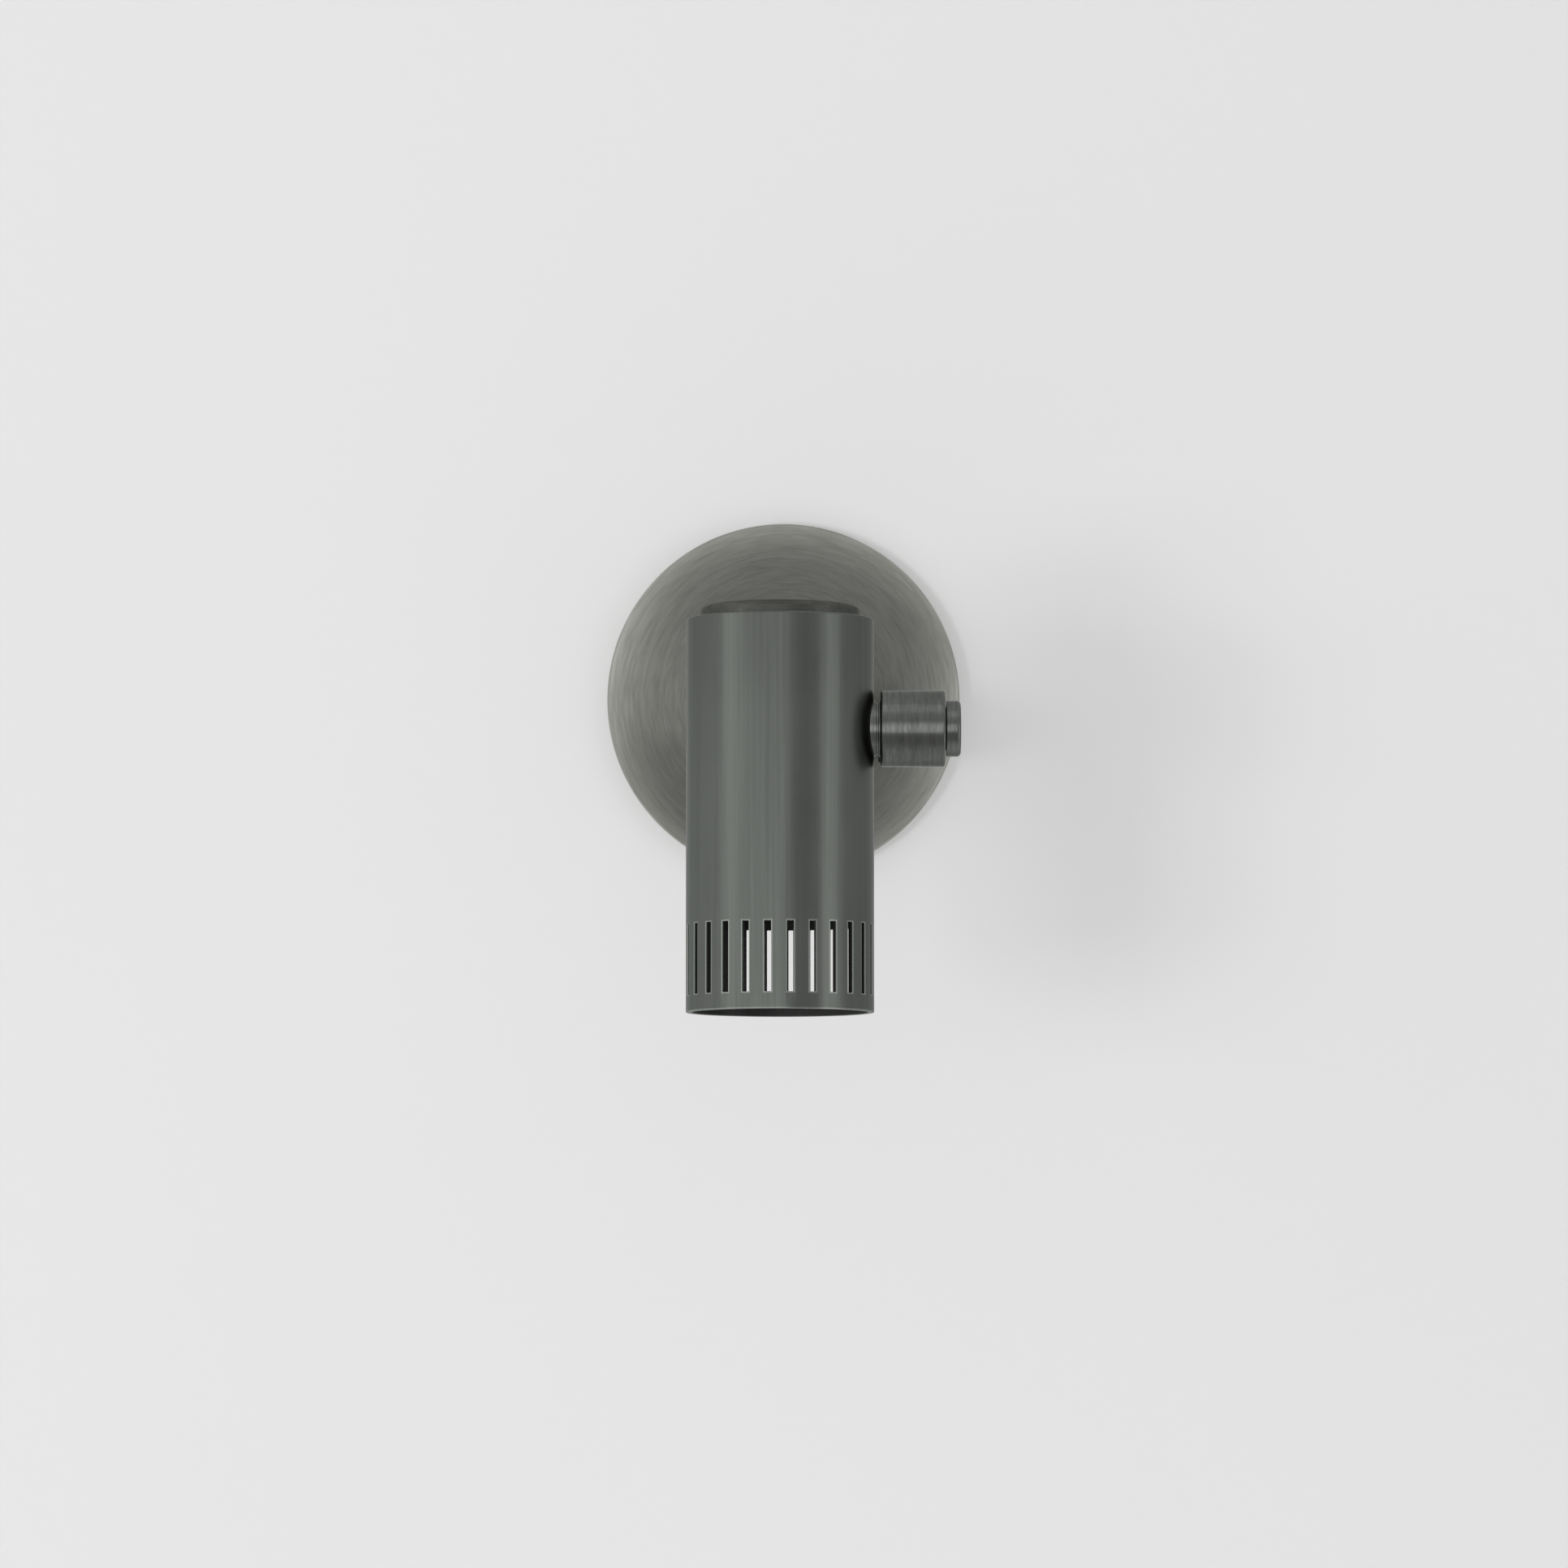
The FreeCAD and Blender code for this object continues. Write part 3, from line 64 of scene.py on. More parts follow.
# %% Where the joints are
joint_places = {joint["name"]: Vector(joint["pos_m"]) for joint in frame["joints"]}
swing_pin_place = joint_places["arm_swing"]
tilt_place = joint_places["shade_tilt"]
print("the arm swings about", tuple(swing_pin_place), "and the shade tilts about", tuple(tilt_place))

# %% [markdown]
# The camera
#
# A catalogue photograph of a lamp is taken from well back with a long lens, so that upright lines
# stay upright. Here the camera stands straight in front of the lamp, 2.7 m from the wall, and a
# centimetre above the shade's middle. A shift of the lens could do the same as a lower camera,
# but the camera's own place is easier to reason about, so the lens has no shift at all.

# %% Camera
CAMERA_PLACE = Vector((0.0002, -2.702, -0.0302))
LENS = 171.7
SENSOR = 36.0
camera_data = bpy.data.cameras.new("camera")
camera_data.lens = LENS
camera_data.sensor_width = SENSOR
camera = bpy.data.objects.new("camera", camera_data)
camera.location = CAMERA_PLACE
camera.rotation_euler = (math.radians(90), 0, 0)
scene.collection.objects.link(camera)
scene.camera = camera
scene.view_settings.view_transform = "Standard"
print("picture height at the wall: %.3f m" % (SENSOR / LENS * -CAMERA_PLACE.y))

# %% [markdown]
# Shader maths as sums
#
# A finish is a small calculation that runs at each point of the surface. Node by node it is hard
# to read, so a socket is wrapped in a class that knows plus, minus, times and divide, and a
# finish reads like a formula. Every other node comes from one method. The world behind the lamp
# is made of nodes too, so the class for a node tree stands apart from the one for a finish.

# %% Wire
class Wire:
    """A socket that takes part in sums. Each sum adds one Math node."""

    def __init__(self, nodes, socket):
        self.nodes = nodes
        self.socket = socket

    def sum(self, operation, first, second):
        """The Math node for an operation on two values."""
        return self.nodes.node("ShaderNodeMath", {"operation": operation}, {0: first, 1: second})

    def __add__(self, other):
        return self.sum("ADD", self, other)

    def __sub__(self, other):
        return self.sum("SUBTRACT", self, other)

    def __rsub__(self, other):
        return self.sum("SUBTRACT", other, self)

    def __mul__(self, other):
        return self.sum("MULTIPLY", self, other)

    def __truediv__(self, other):
        return self.sum("DIVIDE", self, other)

    def __pow__(self, other):
        return self.sum("POWER", self, other)

    __radd__ = __add__
    __rmul__ = __mul__

    def output(self, name):
        """Another output of the node that this wire comes from."""
        return Wire(self.nodes, self.socket.node.outputs[name])


print("a wire knows:", sorted(name.strip("_") for name, use in vars(Wire).items() if callable(use)))


# %% Nodes of one tree
class Nodes:
    """The nodes of a material or of the world."""

    def __init__(self, tree):
        self.tree = tree

    def set(self, socket, value):
        """Link a wire to a socket, or set the socket to a number, vector or colour."""
        if isinstance(value, Wire):
            self.tree.links.new(value.socket, socket)
        elif isinstance(value, (tuple, list)) and socket.type == "RGBA":
            socket.default_value = tuple(value) + (1,)
        else:
            socket.default_value = value

    def node(self, kind, settings=None, sockets=None, output=0):
        """Any node: its settings come first, then the values or links of its sockets."""
        made = self.tree.nodes.new(kind)
        for name, value in (settings or {}).items():
            setattr(made, name, value)
        for name, value in (sockets or {}).items():
            self.set(made.inputs[name], value)
        return Wire(self, made.outputs[output])

    def vector(self, operation, first, second):
        """A sum of two vectors that gives a vector."""
        return self.node("ShaderNodeVectorMath", {"operation": operation}, {0: first, 1: second})

    def scaled(self, vector, factor):
        """A vector or colour times a number."""
        return self.node("ShaderNodeVectorMath", {"operation": "SCALE"}, {0: vector, "Scale": factor})

    def length(self, vector):
        """How long a vector is."""
        return self.node("ShaderNodeVectorMath", {"operation": "LENGTH"}, {0: vector}, "Value")

    def limits(self, value, low, high, new_low=0.0, new_high=1.0):
        """The value's range from low to high, carried to a new one and held there."""
        sockets = {"Value": value, "From Min": low, "From Max": high,
                   "To Min": new_low, "To Max": new_high}
        return self.node("ShaderNodeMapRange", {"clamp": True}, sockets)


print("nodes can be made by:", sorted(name for name in vars(Nodes) if not name.startswith("_")))


# %% Nodes of one finish
class Finish(Nodes):
    """The nodes of one material, with a Principled shader at their end."""

    def __init__(self, material, **constants):
        material.use_nodes = True
        super().__init__(material.node_tree)
        self.name = material.name
        self.tree.nodes.clear()
        self.shader = self.tree.nodes.new("ShaderNodeBsdfPrincipled")
        self.end = self.tree.nodes.new("ShaderNodeOutputMaterial").inputs["Surface"]
        self.tree.links.new(self.shader.outputs["BSDF"], self.end)
        for name, value in constants.items():
            self.feed(name.replace("_", " "), value)
        self.place = self.node("ShaderNodeTexCoord").output("Object")

    def feed(self, name, value):
        """Set or link an input of the Principled shader."""
        self.set(self.shader.inputs[name], value)

    def noise(self, vector, scale, detail=2.0, roughness=0.5):
        """Soft noise between 0 and 1."""
        sockets = {"Vector": vector, "Scale": scale, "Detail": detail, "Roughness": roughness}
        return self.node("ShaderNodeTexNoise", {"normalize": True}, sockets)

    def stretched(self, scales, turn=(0, 0, 0)):
        """The place, turned and then scaled along each axis, so that a noise runs in lines."""
        sockets = {"Vector": self.place, "Rotation": turn}
        rotated = self.node("ShaderNodeMapping", {"vector_type": "POINT"}, sockets)
        return self.vector("MULTIPLY", rotated, scales)

    def wavering(self, vector, scale, amount):
        """A vector whose lines wander a little, as a brush held by hand does."""
        drift = self.noise(self.place, scale, 1.0).output("Color")
        return self.vector("ADD", vector, self.vector("MULTIPLY", drift, (amount,) * 3))

    def blend(self, factor, first, second):
        """A colour between two others."""
        return self.node("ShaderNodeMix", {"data_type": "RGBA"}, {0: factor, 6: first, 7: second}, 2)

    def relief(self, height, depth, strength=1.0):
        """Bumps of a height between 0 and 1, of a real depth in metres."""
        sockets = {"Height": height, "Distance": depth, "Strength": strength}
        self.feed("Normal", self.node("ShaderNodeBump", None, sockets))


def finish_of(slot, **constants):
    """A finish on the material that the engineering model gave to a slot."""
    return Finish(bpy.data.materials[slot], **constants)


print("slots that need a finish:", sorted(material.name for material in bpy.data.materials))

# %% [markdown]
# The studio
#
# Brushed metal has hardly a colour of its own. What it shows is the room, blurred. So the room
# and its lights are chosen for their reflections: a soft panel at the left gives the broad band
# on the left of the shade, two in front light its middle, one at the right gives the thin band,
# and the gap before that one gives the dark valley. The room itself has soft glows of its own,
# most of them at its sides and corners, which is what the domed plate shows. One more panel
# throws the soft shadow on the wall, and doesn't show in metal.

# %% World
world = bpy.data.worlds.new("studio")
world.use_nodes = True
room = Nodes(world.node_tree)
direction = room.node("ShaderNodeSeparateXYZ", None,
                      {"Vector": room.node("ShaderNodeTexCoord").output("Generated")})
to_right, to_back, up = direction.output("X"), direction.output("Y"), direction.output("Z")
ROOM_TONE = 0.60
# Each glow has its strength, and then the directions in which it rises from nothing to full
GLOWS = {
    "left": (0.45, (to_right, -0.2, -0.9), (to_back, -0.45, -0.1)),
    "right": (0.12, (to_right, 0.55, 0.80), (to_back, -0.15, 0.15)),
    "behind": (0.22, (to_back, 0.5, 0.85)),
    "above": (0.20, (up, 0.1, 0.8)),
    "above left": (0.17, (up, 0.3, 0.55), (to_right, -0.25, -0.5)),
    "above right": (0.20, (up, 0.3, 0.55), (to_right, 0.25, 0.5)),
    "below": (0.25, (up, -0.7, -0.95)),
    "below in front": (-0.15, (up, -0.1, -0.45), (to_back, 0.0, -0.6)),
    "below left": (0.28, (up, -0.25, -0.5), (to_right, -0.3, -0.55)),
    "below right": (0.34, (up, -0.25, -0.5), (to_right, 0.3, 0.55)),
}
room_tone = ROOM_TONE
for strength, *spans in GLOWS.values():
    glow = strength
    for way, start, full in spans:
        glow = room.limits(way, start, full) * glow
    room_tone = glow + room_tone
background = world.node_tree.nodes["Background"]
room.set(background.inputs["Strength"], room_tone)
background.inputs["Color"].default_value = (1, 1, 1, 1)
scene.world = world
print("the room's nodes:", len(world.node_tree.nodes))

# %% Soft panels
LAMP_MIDDLE = Vector((0, -0.12, -0.02))


def panel(name, azimuth, elevation, distance, size, radiance):
    """A soft panel aimed at the lamp. Azimuth is counted from the camera's side, to the right."""
    turn, rise = math.radians(azimuth), math.radians(elevation)
    ray = Vector((math.sin(turn) * math.cos(rise), -math.cos(turn) * math.cos(rise), math.sin(rise)))
    data = bpy.data.lights.new(name, "AREA")
    data.shape = "RECTANGLE"
    data.size, data.size_y = size
    data.energy = radiance * math.pi * size[0] * size[1]
    light = bpy.data.objects.new(name, data)
    light.location = LAMP_MIDDLE + ray * distance
    light.rotation_euler = ray.to_track_quat("Z", "Y").to_euler()
    light.visible_camera = False
    scene.collection.objects.link(light)
    print("%s: %.0f W" % (name, data.energy))
    return light


panel("key_panel", -59, 9, 2.6, (1.25, 2.0), 1.08)
panel("front_left_panel", -21, 0, 3.2, (2.6, 1.2), 1.11)
panel("front_panel", 5, 2.5, 3.2, (0.65, 1.8), 0.80)
panel("right_panel", 64, -7, 2.6, (1.15, 2.0), 1.06)
panel("top_panel", 5, 62, 2.6, (2.2, 1.2), 0.28)
shadow_maker = panel("shadow_maker", -33, -3, 2.8, (0.7, 0.7), 15.0)
shadow_maker.visible_glossy = False

# %% [markdown]
# Floor and wall
#
# The lamp hangs on a wall, so it needs one behind it for its soft shadow. A wall would hide the
# lamp from behind, so its back is made see-through, and only the camera sees it at all: it
# neither shades the lamp nor mirrors in it, and the lamp looks the same from every side. Part of
# its white is a faint glow, as a photographer's second light on a backdrop gives, which keeps
# the edge of the plate free of a dark rim. The floor is as far below as it is at home.

# %% Floor and wall
FLOOR_LEVEL = -1.4
ROOM_SIZE = 40.0
WALL_GAP = 0.4 * MM
WALL_PAINT = (0.46, 0.46, 0.46)
WALL_GLOW = 0.20
FLOOR_PAINT = (0.80, 0.80, 0.795)


def stage_finish(name, **constants):
    """A plain finish for a piece of the room."""
    return Finish(bpy.data.materials.new(name), **constants)


wall_paint = stage_finish("wall_paint", Base_Color=WALL_PAINT, Roughness=0.9,
                          Emission_Color=(1, 1, 1), Emission_Strength=WALL_GLOW)
stage_finish("floor_paint", Base_Color=FLOOR_PAINT, Roughness=0.8)
bpy.ops.object.select_all(action="DESELECT")
bpy.ops.mesh.primitive_plane_add(size=ROOM_SIZE, location=(0, 0, FLOOR_LEVEL))
floor = bpy.context.object
floor.name = "floor"
floor.data.materials.append(bpy.data.materials["floor_paint"])
bpy.ops.object.select_all(action="DESELECT")
bpy.ops.mesh.primitive_plane_add(size=ROOM_SIZE, rotation=(math.radians(90), 0, 0),
                                 location=(0, WALL_GAP, FLOOR_LEVEL + ROOM_SIZE / 2))
wall = bpy.context.object
wall.name = "wall"
wall.data.materials.append(bpy.data.materials["wall_paint"])
for flag in ("visible_shadow", "visible_diffuse", "visible_glossy", "visible_transmission"):
    setattr(wall, flag, False)
floor.visible_glossy = False
print("floor at", FLOOR_LEVEL, "m, wall", WALL_GAP / MM, "mm behind the plate")

# %% See-through back of the wall
back_side = wall_paint.node("ShaderNodeNewGeometry").output("Backfacing")
see_through = wall_paint.node("ShaderNodeBsdfTransparent")
painted = Wire(wall_paint, wall_paint.shader.outputs["BSDF"])
wall_paint.set(wall_paint.end, wall_paint.node(
    "ShaderNodeMixShader", None, {0: back_side, 1: painted, 2: see_through}))
print("the wall's finish: %d nodes" % len(wall_paint.tree.nodes))

# %% [markdown]
# Brushed pewter
#
# The lamp is steel or brass, plated, darkened to a pewter grey and then brushed. The brush leaves
# thousands of fine lines: rings on the turned plate, lengthwise lines on the shade and the arm,
# and lines round the knuckle. A photograph of brushing could be laid on, but lines made from
# noise, squeezed across the brush and long along it, stay sharp at any distance and need no
# picture. Two sizes of line are mixed, and a wide, faint patina lies over both. The lines change
# the tone, the gloss and the surface itself by very little each. How fast a noise runs is given
# for each axis, in swings per metre: a large number across the brush, a small one along it.

# %% Pewter from brush lines
THIN_SHARE, BROAD_SHARE = 0.62, 0.38
LINES_SHARE, PATINA_SHARE = 0.75, 0.25
PATINA_SCALE = 32.0
LINES_SPAN = (0.32, 0.68)
PATINA_SPAN = (0.35, 0.65)
LINES_GLOSS, PATINA_GLOSS = -0.07, 0.05


def pewter(finish, fine, coarse, tone, dark_tone, roughness, depth, wear_and_painted_light=None):
    """Brushed pewter from two sizes of lines, each a vector that runs fast across the brush."""
    thin = finish.noise(fine, 1.0, 3.0, 0.6)
    broad = finish.noise(coarse, 1.0, 2.0, 0.5)
    cloud = finish.noise(finish.place, PATINA_SCALE, 3.0, 0.55)
    lines = finish.limits(thin * THIN_SHARE + broad * BROAD_SHARE, *LINES_SPAN)
    patina = finish.limits(cloud, *PATINA_SPAN)
    brushed = finish.blend(lines * LINES_SHARE + patina * PATINA_SHARE, dark_tone, tone)
    # The optional scale of the colour carries wear and painted light: a painted sheen at the plate's
    # rim, painted highlights along the shade's edges and painted shade near its top.
    finish.feed("Base Color", brushed if wear_and_painted_light is None else finish.scaled(brushed, wear_and_painted_light))
    finish.feed("Roughness", roughness + lines * LINES_GLOSS + patina * PATINA_GLOSS)
    finish.relief(lines, depth)
    print("%s: %d nodes" % (finish.name, len(finish.tree.nodes)))


# %% [markdown]
# Rings on the plate
#
# The plate is brushed while it turns, so its lines are short arcs about its own axis. Its rim is
# painted brighter than its middle: a painted sheen for the brighter sides of the room that the rim
# mirrors. Both follow from one number, the distance from the axis.

# %% Pewter of the plate
PLATE_MIDDLE = 40 * MM
PLATE_EDGE = 63.5 * MM
MIDDLE_TONE_SCALE = 0.84
RIM_PAINTED_SHEEN = 0.80
RIM_SHEEN_POWER = 3.4
plate = finish_of("plate_pewter", Metallic=1.0)
plate_flat = plate.vector("MULTIPLY", plate.place, (1, 0, 1))
plate_outward = plate.length(plate_flat)
plate_heading = plate.node("ShaderNodeVectorMath", {"operation": "NORMALIZE"}, {0: plate_flat})


def ring_lines(along, across):
    """Lines in rings: slow along the ring, fast outward."""
    around = plate.vector("MULTIPLY", plate_heading, (along, 0, along))
    outward = plate.node("ShaderNodeCombineXYZ", None, {"Y": plate_outward * across})
    return plate.vector("ADD", around, outward)


# Painted sheen: the plate's colour is painted brighter towards the rim, where it mirrors the brighter
# sides of the room.
to_rim = plate.limits(plate_outward, PLATE_MIDDLE, PLATE_EDGE)
pewter(plate, ring_lines(5.0, 1050.0), ring_lines(3.2, 400.0),
       tone=(0.212, 0.213, 0.196), dark_tone=(0.143, 0.144, 0.131), roughness=0.43,
       depth=0.003 * MM, wear_and_painted_light=MIDDLE_TONE_SCALE + to_rim ** RIM_SHEEN_POWER * RIM_PAINTED_SHEEN)

# %% [markdown]
# Pewter of the shade, outside and inside
#
# The shade is brushed from end to end. Its inside gets a dark matt finish instead of the metal.
# One finish does both: the distance from the shade's own axis says which side of the sheet a
# point is on, and the closed end and the mouth's rim count as outside. The shade leans a little at
# rest, so the place is turned upright first.

# %% Sizes of the shade and its slots
REST_LEAN = math.radians(4.4)
BARREL_HALF = 10.9 * MM
NECK_GAP = 2.2 * MM
SHADE_RADIUS = 31.75 * MM
SHADE_X = -(BARREL_HALF + NECK_GAP + SHADE_RADIUS)
SHADE_ABOVE = 37 * MM
SHADE_BELOW = 96 * MM
SLOT_COUNT = 26
SLOT_TURN = math.radians(6.4)
SLOT_PITCH = 2 * math.pi / SLOT_COUNT
# A slot and the bar beside it take ten columns of faces, three of them for the slot
SLOT_COLUMNS = 3
COLUMNS = 10
SLOT_WIDTH = SLOT_COLUMNS / COLUMNS * SLOT_PITCH * SHADE_RADIUS
SLOT_LOW = -SHADE_BELOW + 5.7 * MM
SLOT_HIGH = SLOT_LOW + 23.7 * MM
print("each of the %d slots is %.2f mm wide" % (SLOT_COUNT, SLOT_WIDTH / MM))

# %% Which side of the sheet a point of the shade is on
SHADE_INSIDE = SHADE_RADIUS - 0.3 * MM
SIDE_BLUR = 0.2 * MM
TOP_SKIN, RIM_SKIN, FULL_SKIN = 0.5 * MM, 0.3 * MM, 0.1 * MM
EDGE_TONE = (0.55, 0.56, 0.55)
shade_metal = finish_of("shade_pewter", Specular_Tint=EDGE_TONE)
shade_place = shade_metal.node(
    "ShaderNodeMapping", {"vector_type": "TEXTURE"},
    {"Vector": shade_metal.place, "Location": tilt_place + Vector((SHADE_X, 0, 0)),
     "Rotation": (-REST_LEAN, 0, 0)})
from_axis = shade_metal.length(shade_metal.vector("MULTIPLY", shade_place, (1, 1, 0)))
on_side = shade_metal.limits(from_axis, SHADE_INSIDE - SIDE_BLUR, SHADE_INSIDE + SIDE_BLUR)
by_axis = shade_metal.node("ShaderNodeSeparateXYZ", None, {"Vector": shade_place})
across_shade, toward_wall, along_shade = by_axis.output("X"), by_axis.output("Y"), by_axis.output("Z")
on_top = shade_metal.limits(along_shade, SHADE_ABOVE - TOP_SKIN, SHADE_ABOVE - FULL_SKIN)
on_rim = shade_metal.limits(along_shade, RIM_SKIN - SHADE_BELOW, FULL_SKIN - SHADE_BELOW)
outside = on_side.sum("MAXIMUM", on_side, on_top.sum("MAXIMUM", on_top, on_rim))
shade_metal.feed("Metallic", outside)
print("the shade's finish turns black inside a radius of %.2f mm" % (SHADE_INSIDE / MM))

# %% Wear and painted highlights at the shade's edges, painted shade near its top, and its pewter
MOUTH_GLINT_AND_WEAR_TO = 0.6 * MM
SLOT_GLINT_AND_WEAR_TO = 0.55 * MM
EDGE_GLINT_AND_WEAR_TO = 0.15 * MM
PLAIN_TONE_SCALE = 0.86
MOUTH_WEAR_AND_GLINT = 1.6
SLOT_WEAR_AND_GLINT = 1.5
TOP_PAINTED_SHADE = -0.07
TOP_PAINTED_SHADE_SPAN = (3 * MM, 22 * MM)
INSIDE_TONE = 0.14
THIN_ACROSS, THIN_ALONG = 850, 12
BROAD_ACROSS, BROAD_ALONG = 240, 6
LENGTHWISE = {"tone": (0.1205, 0.1290, 0.1185), "dark_tone": (0.0935, 0.1000, 0.0920),
              "roughness": 0.30, "depth": 0.003 * MM}
# Wear and painted highlight: a bright band along the mouth's edge and round every slot, partly wear of
# the edges and partly painted highlight.
mouth_wear_and_glint = on_side * shade_metal.limits(along_shade, MOUTH_GLINT_AND_WEAR_TO - SHADE_BELOW, -SHADE_BELOW)
around_shade = across_shade.sum("ARCTAN2", across_shade, toward_wall * -1.0)
pitches = (around_shade - SLOT_TURN) / SLOT_PITCH
from_slot = pitches.sum("PINGPONG", pitches, 0.5) * (SLOT_PITCH * SHADE_RADIUS) - SLOT_WIDTH / 2
beyond_ends = along_shade.sum("MAXIMUM", SLOT_LOW - along_shade, along_shade - SLOT_HIGH)
from_edge = from_slot.sum("MAXIMUM", from_slot, beyond_ends)
slot_wear_and_glint = shade_metal.limits(from_edge, SLOT_GLINT_AND_WEAR_TO, EDGE_GLINT_AND_WEAR_TO)
# Painted shade: the outside of the shade is painted darker towards its top.
near_top = shade_metal.limits(along_shade, *TOP_PAINTED_SHADE_SPAN)
shade_wear_and_painted_light = PLAIN_TONE_SCALE + near_top * TOP_PAINTED_SHADE + mouth_wear_and_glint * MOUTH_WEAR_AND_GLINT + slot_wear_and_glint * SLOT_WEAR_AND_GLINT
pewter(shade_metal,
       shade_metal.vector("MULTIPLY", shade_place, (THIN_ACROSS, THIN_ACROSS, THIN_ALONG)),
       shade_metal.vector("MULTIPLY", shade_place, (BROAD_ACROSS, BROAD_ACROSS, BROAD_ALONG)),
       wear_and_painted_light=outside * shade_wear_and_painted_light + INSIDE_TONE, **LENGTHWISE)

# %% [markdown]
# Pewter of the arm, the cap and the knuckle
#
# The arm is brushed from end to end, like the shade. The cap is wiped from side to side, and as
# it leans with the shade, its place is turned upright first. The knuckle is brushed round its
# own axis, more coarsely, and by hand, so its lines waver. One finish could serve all three, but
# the way the lines run is what tells a turned bar from a drawn tube.

# %% Pewter of the arm
arm_metal = finish_of("arm_pewter", Metallic=1.0, Specular_Tint=EDGE_TONE)
pewter(arm_metal, arm_metal.stretched((THIN_ACROSS, THIN_ALONG, THIN_ACROSS)),
       arm_metal.stretched((BROAD_ACROSS, BROAD_ALONG, BROAD_ACROSS)), **LENGTHWISE)

# %% Pewter of the cap
UPRIGHT_TURN = (REST_LEAN, 0, 0)
# Painted shade: the cap's pewter is darker than the shade's, as the cap's side mirrors a darker part of
# the room.
cap_metal = finish_of("cap_pewter", Metallic=1.0, Specular_Tint=EDGE_TONE)
pewter(cap_metal, cap_metal.wavering(cap_metal.stretched((12, 900, 900), UPRIGHT_TURN), 60.0, 1.2),
       cap_metal.stretched((7, 300, 300), UPRIGHT_TURN),
       tone=(0.088, 0.090, 0.082), dark_tone=(0.057, 0.059, 0.053), roughness=0.40, depth=0.004 * MM)

# %% Pewter of the knuckle
knuckle_metal = finish_of("knuckle_pewter", Metallic=1.0, Specular_Tint=EDGE_TONE)
pewter(knuckle_metal, knuckle_metal.wavering(knuckle_metal.stretched((1300, 60, 160)), 260.0, 1.2),
       knuckle_metal.wavering(knuckle_metal.stretched((620, 60, 120)), 180.0, 1.2),
       tone=(0.158, 0.165, 0.155), dark_tone=(0.082, 0.086, 0.081), roughness=0.22, depth=0.008 * MM)

# %% [markdown]
# Working in edit mode from a script
#
# An operator acts on everything that is selected, so each step first clears the selection and
# then picks edges or faces by where they are. Picking by number would be shorter, but the numbers
# change with every step, while a place stays what it is. The helpers below do no more than that.

# %% Selecting
def alone(piece):
    """Select one piece and nothing else."""
    if bpy.context.mode != "OBJECT":
        bpy.ops.object.mode_set(mode="OBJECT")
    bpy.ops.object.select_all(action="DESELECT")
    piece.select_set(True)
    bpy.context.view_layer.objects.active = piece


def edit(piece):
    """Open one piece in edit mode with nothing selected."""
    alone(piece)
    bpy.ops.object.mode_set(mode="EDIT")
    bpy.ops.mesh.select_all(action="DESELECT")


def pick(piece, kind, wanted):
    """Select the edges or faces whose middle passes a test, in edit mode, and count them."""
    bpy.ops.mesh.select_mode(type=kind)
    bpy.ops.mesh.select_all(action="DESELECT")
    form = bmesh.from_edit_mesh(piece.data)
    found = 0
    for part in {"EDGE": form.edges, "FACE": form.faces}[kind]:
        middle = sum((corner.co for corner in part.verts), Vector()) / len(part.verts)
        if wanted(middle, part):
            part.select_set(True)
            found += 1
    bmesh.update_edit_mesh(piece.data)
    return found


print("pieces selected at the start:", len(bpy.context.selected_objects))

# %% [markdown]
# Turned pieces
#
# Most of this lamp is made on a lathe, and so are its meshes: a ring of edges is added, then
# pulled out and resized again and again along the outline. The Spin operator does the same from
# a drawn profile, but pulling a ring keeps every step visible and closes itself. A corner of the
# outline that carries a third number is rounded with that radius.

# %% Outline with rounded corners
ARC_STEPS = 7


def rounded(corners):
    """The outline's points, with an arc in each corner that has a radius."""
    points = []
    for number, corner in enumerate(corners):
        here = Vector(corner[:2])
        if len(corner) < 3:
            points.append(here)
            continue
        back = (Vector(corners[number - 1][:2]) - here).normalized()
        ahead = (Vector(corners[number + 1][:2]) - here).normalized()
        half = back.angle(ahead) / 2
        centre = here + (back + ahead).normalized() * (corner[2] / math.sin(half))
        start = here + back * (corner[2] / math.tan(half)) - centre
        stop = here + ahead * (corner[2] / math.tan(half)) - centre
        for step in range(ARC_STEPS + 1):
            share = step / ARC_STEPS
            turn = math.pi - 2 * half
            weights = math.sin((1 - share) * turn), math.sin(share * turn)
            points.append(centre + (start * weights[0] + stop * weights[1]) / math.sin(turn))
    return points


print("points of an outline with one round corner:", len(rounded([(1, 0), (1, 1, 0.2), (0, 1)])))

# %% Turning
TURNED_SIDES = 192
SAME_PLACE = 0.0005 * MM


